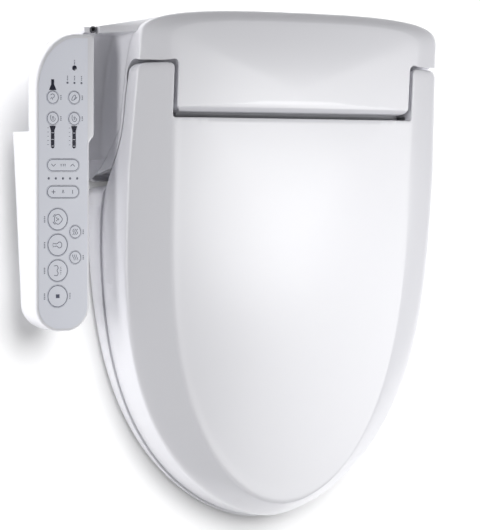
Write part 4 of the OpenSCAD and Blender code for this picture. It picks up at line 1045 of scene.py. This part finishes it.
def gland_cuts(form):
    """The recess for the cord's gland in the ledge, and the way through under it."""
    ledge = form.arm_height + 2
    c, s = math.cos(math.radians(4)), math.sin(math.radians(4))
    ring = rounded_box(-5.2, 5.2, -4.2, 4.2, 1.0)
    ring = np.column_stack([GLAND_X + ring[:, 0] * c + ring[:, 1] * s,
                            GLAND_Y - ring[:, 0] * s + ring[:, 1] * c])
    return [prism("recess", ring, ledge - GLAND_DEEP, ledge + 15),
            prism("cord_way", disc_ring(GLAND_X, GLAND_Y, 2.45, 40), -1, ledge + 10)]


def tub_floor(y):
    """The arm's underside below its sloping face."""
    return -64.5 + 0.111 * (-7 - y)


def make_arm(form):
    middle = (-(form.arm_outer + ARM_IN_FRONT) / 2, -100)
    rings = []
    for d, up in ((11, 0), (5, 1.6), (2, 5), (0.8, 11)):
        r = arm_front_ring(form, d, -4)
        rings.append((r, tub_floor(r[:, 1]) + up))
    rings.append((arm_front_ring(form, 0.1, -4), -BEZEL - 0.3))
    tub = panel_stack(form, "arm_tub", rings, middle)
    rear = panel_stack(form, "arm_rear", [
        (arm_ring(form, d), z) for d, z in (
            (5, -26), (3, -24.4), (1.4, -21), (0.4, -BEZEL - 0.3))], (middle[0], -25))
    keep = panel_prism(form, "keep", np.array([(-300, -12), (0, -12), (0, 150), (-300, 150)],
                                              float), -60, 0)
    combine(rear, [keep], "INTERSECT")
    fuse(tub, rear)
    hollow = panel_prism(form, "hollow", arm_front_ring(form, 4, 20), -60, 20)
    floor = along_x("floor", [(-300, 0), (-300, 37), (-61, 27.2), (-61, 67), (-50, 67.3),
                              (60, 76), (60, 0)], -300, -200)
    carve(hollow, floor)
    carve(tub, hollow)
    shallow = panel_prism(form, "shallow", arm_ring(form, 5), -23, 27)
    ahead = np.array([(-300, -300), (-100, -300), (-100, 0), (-300, 0)], float)
    carve(shallow, panel_prism(form, "front", ahead, -60, 60))
    carve(tub, shallow)
    fuse(tub, carve(bridge_solid(form), *gland_cuts(form)))
    finish_piece(tub, "housing", shell_finish(), ["arm_case"], 38)

    bezel = panel_stack(form, "arm_bezel_frame", [
        (arm_ring(form, d), z) for d, z in (
            (0, -BEZEL), (0, -3.4), (0.12, -2.2), (0.5, -1.2), (1.15, -0.45), (2, -0.06),
            (2.5, 0))], (middle[0], -25))
    carve(bezel, panel_prism(form, "inside", arm_ring(form, 2.4), -BEZEL - 1, -2.4),
          panel_prism(form, "seat_for_label", label_ring(form, 0), -0.6, 5),
          *panel_holes(form, 0.3, 0))
    finish_piece(bezel, "housing", shell_finish(), ["arm_bezel"], 38)

    film = panel_prism(form, "panel_film", label_ring(form, 0.1), -0.6, 0.2)
    carve(film, *panel_holes(form, 0.3, 0.05))
    finish_piece(film, "housing", film_finish(), ["panel_label"])


# ---- keys and prints

class Print:
    """Ink strokes on a key, rocker or film, kept just above its surface."""

    def __init__(self, form, height):
        self.form, self.height = form, height
        self.points, self.faces = [], []
        self.depth = form.print_depth

    def add(self, ring_a, ring_b, closed):
        """A thin solid strip between two edges."""
        n = len(ring_a)
        base = len(self.points)
        for up in (self.depth, -0.08):
            for ring in (ring_a, ring_b):
                z = np.array([self.height(x, y) for x, y in ring]) + up
                self.points += np.column_stack([ring, z]).tolist()
        a, b, c, d = base, base + n, base + 2 * n, base + 3 * n
        for i in range(n if closed else n - 1):
            j = (i + 1) % n
            self.faces += [(a + i, a + j, b + j, b + i), (d + i, d + j, c + j, c + i),
                           (b + i, b + j, d + j, d + i), (c + i, c + j, a + j, a + i)]
        if not closed:
            e = n - 1
            self.faces += [(a, b, d, c), (b + e, a + e, c + e, d + e)]

    def stroke(self, path, width, closed=False):
        p = np.asarray(path, float)
        if closed:
            along = np.roll(p, -1, 0) - np.roll(p, 1, 0)
        else:
            along = np.gradient(p, axis=0)
        along /= np.linalg.norm(along, axis=1)[:, None]
        side = np.column_stack([-along[:, 1], along[:, 0]]) * width / 2
        self.add(p + side, p - side, closed)

    def ring(self, x, y, r, width, steps=48):
        self.stroke(disc_ring(x, y, r, steps), width, True)

    def dash(self, x, y, long, wide, angle=0.0):
        c, s = math.cos(math.radians(angle)), math.sin(math.radians(angle))
        t = np.linspace(-long / 2, long / 2, 3)
        self.stroke(np.column_stack([x + t * c, y + t * s]), wide)

    def make(self, name):
        return outward(new_piece(name, self.form.on_panel(self.points), self.faces))


def curve(points, steps=6, closed=False):
    """A smooth path through points, as (x, y) rows."""
    p = [np.array([q], float) for q in points]
    if closed:
        p = [p[-1]] + p + [p[0], p[1]]
    rows = np.vstack(smooth_rings(p, steps))
    return rows[steps:-steps - 1] if closed else rows


def key_symbol(ink, name, x, y):
    """The printed symbol of a key, about the key's middle."""
    grow, thin = 1.12, 0.62

    def line(points, steps, width=thin, closed=False):
        path = [(x + grow * a, y + grow * b) for a, b in points]
        ink.stroke(curve(path, steps, closed), width, closed)

    if name == "key_rear":
        line([(-3.2, 0), (-2.6, 3), (0.6, 4.4), (3.2, 2.4), (4.6, 0), (3.2, -2.4),
              (0.6, -4.4), (-2.6, -3)], 5, thin, True)
        for side in (1, -1):
            line([(-4.6, 2.2 * side), (-3.6, 3.6 * side), (-2.4, 4.6 * side)], 4)
        ink.ring(x + 0.4, y, 0.7, 0.5, 16)
        for side in (1, -1):
            ink.dash(x - 1.2, y + 1.4 * side, 1.4, thin, 60 * side)
    elif name == "key_front":
        line([(-3.4, 1.2), (-0.6, 1.1), (1.2, 2.6), (3.2, 2.2), (4, 0), (3.2, -2.2),
              (1.2, -2.6), (-0.6, -1.1), (-3.4, -1.2)], 5)
        for a in (-1, 0, 1):
            ink.dash(x - 4.8 - (0.5 if a == 0 else 0), y + a * 1.7, 1.3, thin, -a * 28)
    elif name == "key_dry":
        line([(-3.6, 4.2), (-0.6, 4.4), (0.4, 2.2), (-0.6, 0), (0.4, -2.2), (-0.6, -4.4),
              (-3.6, -4.2)], 6)
        for a in (-2, -1, 0, 1, 2):
            ink.dash(x + 3.4, y + a * 1.7, 1.8 - 0.3 * abs(a), thin * 0.8, a * 14)
    elif name == "key_stop":
        for a in np.linspace(-1.6, 1.6, 8):
            ink.dash(x, y + a, 4.0, 0.56)
    elif name == "key_a":
        line([(-2.2, 1.8), (-0.6, 2.9), (1.2, 2.2), (1.4, 0.4), (0, -0.6), (-0.4, -2.2)], 5,
             thin * 0.9)
        ink.dash(x - 1.8, y - 1.0, 2.2, thin * 0.9, 60)
    elif name == "key_b":
        line([(-2.6, -2.4), (-1.6, 0.6), (0.8, 2.4), (1, 0.2), (-0.6, -2.2), (-2.6, -2.4)],
             5, thin * 0.8)
        ink.dash(x + 1.2, y - 1.2, 3.0, thin * 0.8, 50)
        ink.dash(x + 2.4, y - 0.2, 2.2, thin * 0.8, 50)
    elif name in ("key_c", "key_d"):
        line([(-1.9, 3), (-2.2, 0.4), (-1.2, -2), (0.6, -2.6), (2.2, -1.4), (2.2, 0.4)], 5,
             thin * 0.8)
        ink.ring(x + 0.3, y + 1.0, 0.8, thin * 0.8, 14)
        ink.dash(x + 0.2, y - 0.8, 1.6, thin * 0.8, 0)
    else:
        lean = 1 if name == "key_e" else -1
        for a in (-1.8, 0, 1.8):
            line([(a - 0.8 * lean, -2.6), (a + 0.6, -1), (a - 0.6, 1),
                  (a + 0.8 * lean, 2.6)], 4, thin * 0.8)


def make_keys(form):
    dome, rise = form.key_dome, 0.3
    a = np.linspace(0, 2 * math.pi, 64, endpoint=False)
    for name, (x, y, r) in KEYS.items():
        def surface(px, py, x=x, y=y, r=r):
            return rise + dome * (1 - min(1, ((px - x) ** 2 + (py - y) ** 2) / r ** 2))

        profile = [(0, -3.9), (r + 0.9, -3.9), (r + 0.9, -2.5), (r, -2.5), (r, 0.02),
                   (r - 0.08, 0.2), (r - 0.3, rise)]
        profile += [(r * k, rise + dome * (1 - k * k))
                    for k in (0.92, 0.75, 0.5, 0.25, 0.05)]
        profile.append((0, rise + dome))
        rings = [form.on_panel(np.column_stack([x + p * np.cos(a), y + p * np.sin(a),
                                                np.full(64, h)])) for p, h in profile
                 if p > 0]
        ends = form.on_panel([(x, y, profile[0][1]), (x, y, profile[-1][1])])
        cap = closed_stack(name + "_cap", rings, ends[0], ends[1])
        finish_piece(cap, name, film_finish(), [name])
        ink = Print(form, surface)
        ink.ring(x, y, r - 0.75, 0.62 if r == BIG_R else 0.5)
        key_symbol(ink, name, x, y)
        finish_piece(ink.make(name + "_print"), name, ink_finish())


def make_rockers(form):
    for name, y in ROCKERS.items():
        rings = [(slot_ring(ROCKER_X, y, ROCKER_L - 2 * inset, ROCKER_W - 2 * inset), z)
                 for inset, z in ((0, -3.95), (0, 0.02), (0.08, 0.2), (0.35, 0.3),
                                  (1.6, ROCKER_TOP))]
        bar = panel_stack(form, name + "_cap", rings, (ROCKER_X, y))
        pin = np.array([(-0.9, -8.5), (0.9, -8.5), (0.9, 8.5), (-0.9, 8.5)]) + [ROCKER_X, y]
        fuse(bar, panel_prism(form, "pin", pin, -4.2, -2.5))
        finish_piece(bar, name, film_finish(), [name])
        ink = Print(form, lambda px, py: ROCKER_TOP)
        ink.stroke(slot_ring(ROCKER_X, y, ROCKER_L - 1.8, ROCKER_W - 1.8), 0.56, True)
        left, right = ROCKER_X - 10.6, ROCKER_X + 10.6
        if name == "rocker_upper":
            for x, rise in ((left, -1.1), (right, 1.1)):
                ink.stroke([(x - 2.3, y - rise), (x, y + rise), (x + 2.3, y - rise)], 0.66)
            for a in (-2.2, 0.2, 2.2):
                ink.dash(ROCKER_X + a, y, 2.4, 0.6, 90)
                ink.dash(ROCKER_X + a, y + 0.9, 1.2, 0.4, 0)
        else:
            ink.dash(left, y, 4.2, 0.66)
            ink.dash(left, y, 4.2, 0.66, 90)
            ink.dash(right, y, 3.8, 0.66, 90)
            ink.stroke(curve([(ROCKER_X - 1, y - 1.4), (ROCKER_X, y + 1.8),
                              (ROCKER_X + 1, y - 1.4)], 5), 0.5)
        finish_piece(ink.make(name + "_print"), name, ink_finish())


def make_panel_details(form):
    """Lamps, strength windows, their scales and the caption bars."""
    row = row_tree()
    slope = np.array([0, math.cos(form.arm_slope), math.sin(form.arm_slope)])
    up = (0, -math.sin(form.arm_slope), math.cos(form.arm_slope))

    def lens(r):
        return turned("lens", [(0, -2.4), (r, -2.4), (r, 0.14), (r * 0.92, 0.24),
                               (r * 0.6, 0.3), (0, 0.32)], (0, 0, 0), up, 24)

    def copies(name, point, count, offset, shape, look):
        start = form.on_panel([point])[0] / 1000
        return row.grow(name, Count=count, Start=tuple(start), Offset=tuple(offset),
                        Shape=shape, Material=look)

    made = []
    for (x, y, r), count, pitch in ((LAMPS[0], 3, LAMP_PITCH), (LAMPS[3], 5, LEVEL_PITCH),
                                    (LAMPS[8], 1, 1)):
        shape = lens(r - 0.03)
        made.append(copies("lamps", (x, y, 0), count, (pitch / 1000, 0, 0), shape,
                           window_finish()))
        discard(shape)
    finish_piece(join_pieces("sensor_window", made[2:]), "housing",
                 window_finish())
    finish_piece(join_pieces("status_lamps", made[:2]), "housing",
                 lamp_finish(), ["status_lenses"])

    bars = [panel_prism(form, "bar", r, -2.4, 0.34) for r in window_rings(-0.06)]
    finish_piece(join_pieces("strength_windows", bars), "housing",
                 window_finish(), ["level_windows"])

    tick = block("tick", -0.8, 0.8, -0.2, 0.2, 0.0, 0.06)
    light = block("light", -1.5, 1.5, -0.25, 0.25, 0.0, 0.06)
    ticks = [copies("ticks", (x - 5, -0.5, 0.19), 5, -slope * 0.0042, tick, ink_finish())
             for x in COLUMNS]
    levels = [copies("levels", (x, -5.4, 0.32), 3, -slope * 0.0066, light, film_finish())
              for x in COLUMNS]
    discard(tick, light)
    finish_piece(join_pieces("scale_ticks", ticks), "housing", ink_finish())
    finish_piece(join_pieces("level_marks", levels), "housing", film_finish())

    captions = Print(form, lambda x, y: 0.2)

    def caption(x, y, count, tall=1.5):
        """A word's place: short upright bars with a bar across, read as small print."""
        for i in range(count):
            at = y + (i - (count - 1) / 2) * 1.7
            captions.dash(x, at + 0.3, tall, 0.42, 0)
            captions.dash(x, at - 0.35, tall, 0.34, 0)
            captions.dash(x + tall * (0.3 if i % 2 else -0.3), at, 0.9, 0.4, 90)

    for name in BIG_KEYS:
        x, y, r = KEYS[name]
        caption(x - r - 3.0, y, 4)
    x, y, r = KEYS["key_stop"]
    caption(x + r + 2.4, y, 4, 1.1)
    for name in ("key_b", "key_d", "key_e", "key_f", "key_a", "key_c"):
        x, y, r = KEYS[name]
        caption(x + r + 2.3, y, 3, 1.3)
    for i in (-1, 0, 1):
        caption(LAMP_X + i * LAMP_PITCH, 44.8 + 4.8, 3, 1.1)
    caption(LAMP_X, 59.8 + 5.8, 3, 1.1)
    finish_piece(captions.make("caption_marks"), "housing", ink_finish())


def join_pieces(name, pieces):
    """One piece from several, with the first one's materials."""
    mesh = bmesh.new()
    for piece in pieces:
        mesh.from_mesh(piece.data)
    joined = new_piece(name, np.zeros((0, 3)), [])
    mesh.to_mesh(joined.data)
    mesh.free()
    discard(*pieces)
    return joined


# ---- small fittings

def make_corner_sets():
    """Feet, seat pads and screws, which stand in a front pair and a rear pair."""
    pad = turned("pad", [(0, 0), (6.2, 0), (6.9, 0.5), (7.3, 2.0), (7.9, 4.0), (7.9, 4.6),
                         (5, 4.6), (5, 5.78), (0, 5.78)], steps=40)
    foot = turned("foot", [(0, 0), (7.4, 0), (8.4, 0.5), (9, 1.6), (9, 6.2), (4, 6.2),
                           (4, 9.2), (0, 9.2)], steps=40)
    head = turned("head", [(0, 4.6), (1.6, 4.6), (2.0, 4.8), (2.05, 5.2), (2.05, 7),
                           (2, 7), (2, 38), (0, 38)], steps=28)
    carve(head, block("cross", -1.1, 1.1, -0.28, 0.28, 4, 5.6),
          block("cross", -0.28, 0.28, -1.1, 1.1, 4, 5.6))
    four = corner_tree()
    # half pitch and y of the front pair, then of the rear pair, in metres
    for name, shape, body, slot, look, node, front, rear in (
            ("base_pads", pad, "housing", "foot_rubber", rubber_finish(), "base_feet",
             (0.15, -0.08), (0.15, 0.03)),
            ("seat_pads", foot, "seat", "soft_rubber", pale_rubber_finish(), "seat_bumpers",
             (0.105, -0.365), (0.145, -0.17)),
            ("case_screw_set", head, "housing", "metal", metal_finish(), "case_screws",
             (0.16, -0.03), (0.12, 0.045))):
        made = four.grow(
            name, Front_half_pitch=(front[0], 0, 0), Front_middle=(0, front[1], 0),
            Rear_half_pitch=(rear[0], 0, 0), Rear_middle=(0, rear[1], 0), Shape=shape,
            Material=look)
        finish_piece(made, body, look, [node])
        discard(shape)


def make_button():
    button = turned("release_key", [(0, 174), (10.4, 174), (10.4, 178), (9, 178), (9, 185.6),
                                    (8.6, 186.2), (7.8, 186.4), (4, 186.0), (0, 185.8)],
                    (0, *BUTTON), ACROSS)
    finish_piece(button, "release_button",
                 plain_finish("button_grey", (0.42, 0.44, 0.48), 0.35), ["release_button"])


def make_wands():
    """The two nozzles, turned to slide down and forwards, with spray holes on top."""
    turn = math.radians(110)
    axis = Vector((0, -math.sin(turn), math.cos(turn)))
    for name, body, x in (("wash_wand", "wash_nozzle", -9.5),
                          ("bidet_wand", "bidet_nozzle", 9.5)):
        origin = Vector((x, -101, 16.5))
        wand = turned(name, [
            (0, -128), (6, -128), (6, -14), (5.86, -13.6), (5.4, -13.4), (5.4, -12.2),
            (5.86, -12), (5.9, -11.6), (5.9, -2.4), (5.5, -1.0), (4.4, -0.2), (0, 0)],
            origin, axis, 48)
        out = axis.cross(Vector(ACROSS))
        if out.z < 0:
            out.negate()
        carve(wand, *[turned("spray", [(0, 0), (0.7, 0), (0.9, 5), (0, 5)],
                             origin + axis * z + out * 3, out, 16) for z in (-9, -6)])
        finish_piece(wand, body,
                     plain_finish("nozzle_white", (0.82, 0.82, 0.80), 0.28), [body])


def make_fittings(form):
    make_corner_sets()
    make_button()
    make_wands()
    make_inlet(form)
    make_fan()


def make_inlet(form, points=60, start=4.6, end=17, pitch=1.8):
    """The threaded water inlet: rings of (x from the wall, radius) with a helical wave."""
    wall = form.side(INLET[0], 0) - 3
    a = np.linspace(0, 2 * math.pi, points, endpoint=False)

    def ring(x, r):
        return np.column_stack([np.full(points, wall + x), INLET[0] + r * np.cos(a),
                                INLET[1] + r * np.sin(a)])

    rings = [ring(x, r) for x, r in ((-7.8, 10.6), (-0.9, 10.6), (-0.9, 11.68), (4, 11.68),
                                     (4, 9.6), (start, 9.6))]
    steps = int((end - start) / pitch * 8)
    for k in range(steps + 1):
        x = start + (end - start) * k / steps
        wave = (x / pitch - a / (2 * math.pi)) % 1
        fade = min(1, k / 6, (steps - k) / 6 + 0.05)
        rings.append(ring(x, 9.55 + 0.9 * (1 - np.abs(2 * wave - 1)) * fade))
    rings += [ring(x, r) for x, r in ((17.6, 9.4), (18, 9.0), (18, 7.08), (-7.8, 7.08))]
    pipe = outward(closed_loop("inlet_thread", rings))
    nut = prism("nut", np.array([(14.0 * math.cos(t), 14.0 * math.sin(t))
                                 for t in np.radians(np.arange(0, 360, 60))]), -7.8, -0.8)
    nut.data.transform(Matrix.Translation((wall / 1000, INLET[0] / 1000, INLET[1] / 1000))
                       @ Matrix.Rotation(math.pi / 2, 4, "Y"))
    fuse(pipe, carve(nut, rod("bore", 10.3, -9, 2, (wall, *INLET), ACROSS)))
    finish_piece(pipe, "housing", metal_finish(), ["water_inlet"], 25)


def make_fan():
    """The blower's wheel, its blades grown round the hub."""
    look = plain_finish("fan_black", (0.03, 0.03, 0.03), 0.45)
    blade = block("blade", 16.8, 20.8, -0.6, 0.6, 17, 32)
    wheel = spoke_tree().grow("blades", Count=24, Shape=blade, Material=look)
    disc = turned("disc", [(0, 17), (21, 17), (21, 18.6), (5, 18.6), (5, 31), (0, 31)])
    carve(disc, rod("bore", 2.06, 16, 22, steps=24))
    discard(blade)
    fan = join_pieces("fan_wheel", [wheel, disc])
    fan.data.transform(Matrix.Translation((0.096, -0.026, 0)))
    finish_piece(fan, "blower_fan", look, ["blower_fan"])


def dress_frame():
    """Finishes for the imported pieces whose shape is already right."""
    looks = {
        "seat_bottom": shell_finish(), "seat_arms": shell_finish(),
        "lid_bushes": plain_finish("bush_white", (0.72, 0.72, 0.72), 0.4),
        "lid_bumpers": pale_rubber_finish(),
        "seat_heater": plain_finish("heater_foil", (0.6, 0.3, 0.06), 0.35),
        "key_membrane": plain_finish("membrane_rubber", (0.07, 0.07, 0.08), 0.7),
        "control_board": plain_finish("board_green", (0.01, 0.06, 0.02), 0.4),
        "main_board": plain_finish("board_green", (0.01, 0.06, 0.02), 0.4),
        "power_supply": plain_finish("inner_tan", (0.4, 0.32, 0.16), 0.5),
        "cord_gland": plain_finish("gland_grey", (0.16, 0.16, 0.18), 0.55),
        "hinge_dampers": plain_finish("dark_plastic", (0.02, 0.02, 0.025), 0.5),
        "hinge_pins": metal_finish(),
        "dryer_flap": shell_finish(),
        "mounting_plate": plain_finish("plate_white", (0.7, 0.7, 0.71), 0.45)}
    inner = plain_finish("inner_white", (0.66, 0.66, 0.63), 0.5)
    for name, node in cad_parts.items():
        node.data.materials.clear()
        node.data.materials.append(looks.get(name, inner))


# ---- stage

def area_light(name, place, aim, size, power, width=None):
    data = bpy.data.lights.new(name, "AREA")
    data.energy, data.size = power, size
    if width:
        data.shape, data.size_y = "RECTANGLE", width
    lamp = bpy.data.objects.new(name, data)
    bpy.context.scene.collection.objects.link(lamp)
    lamp.location = place
    lamp.rotation_euler = (Vector(aim) - Vector(place)).to_track_quat("-Z", "Y").to_euler()
    return lamp


def make_floor():
    """A pale floor that the camera sees as white and that keeps a soft shadow."""
    half, low = 4000, -0.3
    floor = new_piece("floor", [(x * half, y * half, low) for x, y in (
        (-1, -1), (1, -1), (1, 1), (-1, 1))], [(0, 1, 2, 3)])
    material = bpy.data.materials.new("pale_floor")
    material.use_nodes = True
    tree = material.node_tree
    tree.nodes.clear()
    path = add_node(tree, "ShaderNodeLightPath").outputs
    tone = add_node(tree, "ShaderNodeMix", [
        ("Factor", path["Is Camera Ray"]), ("A", (0.86, 0.86, 0.87, 1)),
        ("B", (0.71, 0.71, 0.715, 1))], data_type="RGBA")
    diffuse = add_node(tree, "ShaderNodeBsdfDiffuse", [("Color", tone.outputs["Result"])])
    seen = add_node(tree, "ShaderNodeMath", [
        (0, path["Is Camera Ray"]), (1, path["Is Glossy Ray"])], operation="MAXIMUM")
    strength = add_node(tree, "ShaderNodeMath", [(0, seen.outputs[0]), (1, 0.12)],
                        operation="MULTIPLY")
    glow = add_node(tree, "ShaderNodeEmission", [("Strength", strength.outputs[0])])
    add = add_node(tree, "ShaderNodeAddShader", [
        (0, diffuse.outputs[0]), (1, glow.outputs[0])])
    add_node(tree, "ShaderNodeOutputMaterial", [("Surface", add.outputs[0])])
    floor.data.materials.append(material)
    return floor


def make_world():
    world = bpy.data.worlds.new("studio")
    bpy.context.scene.world = world
    world.use_nodes = True
    tree = world.node_tree
    back = tree.nodes["Background"]
    back.inputs["Color"].default_value = (1, 1, 1, 1)
    path = add_node(tree, "ShaderNodeLightPath")
    level = add_node(tree, "ShaderNodeMapRange", [
        ("Value", path.outputs["Is Camera Ray"]), ("To Min", 0.13), ("To Max", 1.0)])
    tree.links.new(level.outputs["Result"], back.inputs["Strength"])


# the sensor's width in mm, and the focal length and the view's height in one measure
SENSOR, FOCAL, VIEW_HEIGHT = 36, 2366.3, 530


def make_stage():
    scene = bpy.context.scene
    floor = make_floor()
    make_world()
    key = area_light("key", (0.4, -0.28, 0.92), (-0.05, -0.16, 0.12), 0.32, 2.05)
    key.data.shape = "DISK"
    fill = area_light("fill", (0.86, -0.56, 0.88), (0, -0.2, 0.1), 0.8, 8.2)
    area_light("left", (-2.1, -0.1, 0.75), (0, -0.1, 0.09), 1.6, 20, width=0.5)
    # a lamp for the floor alone, whose bounce lights the upright walls
    sun = bpy.data.lights.new("table", "SUN")
    sun.energy, sun.angle = 4.2, math.radians(50)
    table = bpy.data.objects.new("table", sun)
    scene.collection.objects.link(table)
    table.rotation_euler = (math.radians(-24), math.radians(3), 0)
    only = bpy.data.collections.new("table_only")
    only.objects.link(floor)
    table.light_linking.receiver_collection = only
    rest = bpy.data.collections.new("all_but_the_table")
    rest.objects.link(floor)
    rest.collection_objects[0].light_linking.link_state = "EXCLUDE"
    key.light_linking.receiver_collection = rest
    fill.light_linking.receiver_collection = rest

    camera_data = bpy.data.cameras.new("camera")
    camera_data.sensor_width = SENSOR
    camera_data.lens = FOCAL * SENSOR / VIEW_HEIGHT
    camera_data.clip_start, camera_data.clip_end = 0.1, 20
    camera = bpy.data.objects.new("camera", camera_data)
    scene.collection.objects.link(camera)
    right = Vector((0.86594, -0.03401, 0.49898)).normalized()
    forward = Vector((0.49985, 0.02467, -0.86576)).normalized()
    up = right.cross(forward)
    turn = Matrix((right, up, -forward)).transposed()
    camera.matrix_world = (Matrix.Translation((-1.28808, -0.25911, 2.22530))
                           @ turn.to_4x4())
    scene.camera = camera
    scene.view_settings.view_transform = "Standard"


# ---- operators

class Step:
    bl_options = {"REGISTER", "UNDO"}


class BIDET_OT_lid(Step, bpy.types.Operator):
    """Build the cover lid"""
    bl_idname = "bidet_seat.lid"
    bl_label = "Cover Lid"

    def execute(self, context):
        make_lid(Form())
        return {"FINISHED"}


class BIDET_OT_seat(Step, bpy.types.Operator):
    """Build the seat ring"""
    bl_idname = "bidet_seat.seat"
    bl_label = "Seat Ring"

    def execute(self, context):
        make_seat(Form())
        return {"FINISHED"}


class BIDET_OT_housing(Step, bpy.types.Operator):
    """Build the housing's cover and base"""
    bl_idname = "bidet_seat.housing"
    bl_label = "Housing"

    def execute(self, context):
        make_housing(Form())
        return {"FINISHED"}


class BIDET_OT_arm(Step, bpy.types.Operator):
    """Build the control arm, its frame and film"""
    bl_idname = "bidet_seat.arm"
    bl_label = "Control Arm"

    def execute(self, context):
        make_arm(Form())
        return {"FINISHED"}


class BIDET_OT_keys(Step, bpy.types.Operator):
    """Build the keys and rockers with their printed symbols"""
    bl_idname = "bidet_seat.keys"
    bl_label = "Keys and Rockers"

    def execute(self, context):
        make_keys(Form())
        make_rockers(Form())
        return {"FINISHED"}


class BIDET_OT_panel(Step, bpy.types.Operator):
    """Build the lamps, strength windows and scales"""
    bl_idname = "bidet_seat.panel"
    bl_label = "Lamps and Scales"

    def execute(self, context):
        make_panel_details(Form())
        return {"FINISHED"}


class BIDET_OT_fittings(Step, bpy.types.Operator):
    """Build the feet, screws, button, nozzles, inlet and fan"""
    bl_idname = "bidet_seat.fittings"
    bl_label = "Fittings"

    def execute(self, context):
        make_fittings(Form())
        return {"FINISHED"}


class BIDET_OT_finishes(Step, bpy.types.Operator):
    """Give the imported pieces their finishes"""
    bl_idname = "bidet_seat.finishes"
    bl_label = "Frame Finishes"

    def execute(self, context):
        dress_frame()
        return {"FINISHED"}


class BIDET_OT_stage(Step, bpy.types.Operator):
    """Set the floor, lights and camera"""
    bl_idname = "bidet_seat.stage"
    bl_label = "Stage"

    def execute(self, context):
        make_stage()
        return {"FINISHED"}


OPERATORS = (BIDET_OT_stage, BIDET_OT_finishes, BIDET_OT_lid, BIDET_OT_seat,
             BIDET_OT_housing, BIDET_OT_arm, BIDET_OT_keys, BIDET_OT_panel,
             BIDET_OT_fittings)


class BIDET_PT_panel(bpy.types.Panel):
    """Sizes, colours and building steps of the bidet seat"""
    bl_idname = "BIDET_PT_panel"
    bl_label = "Bidet Seat"
    bl_space_type = "VIEW_3D"
    bl_region_type = "UI"
    bl_category = "Bidet Seat"

    def draw(self, context):
        for group in (context.scene.bidet_seat_sizes, context.scene.bidet_seat_colours):
            column = self.layout.column(align=True)
            for name in group.__annotations__:
                column.prop(group, name)
        for operator in OPERATORS:
            self.layout.operator(operator.bl_idname)


CLASSES = (BidetSeatSizes, BidetSeatColours, *OPERATORS, BIDET_PT_panel)


def register():
    for item in CLASSES:
        bpy.utils.register_class(item)
    bpy.types.Scene.bidet_seat_sizes = bpy.props.PointerProperty(type=BidetSeatSizes)
    bpy.types.Scene.bidet_seat_colours = bpy.props.PointerProperty(type=BidetSeatColours)


def unregister():
    del bpy.types.Scene.bidet_seat_colours
    del bpy.types.Scene.bidet_seat_sizes
    for item in reversed(CLASSES):
        bpy.utils.unregister_class(item)


def main():
    register()
    for operator in OPERATORS:
        group, name = operator.bl_idname.split(".")
        getattr(getattr(bpy.ops, group), name)()


if __name__ == "__main__":
    main()
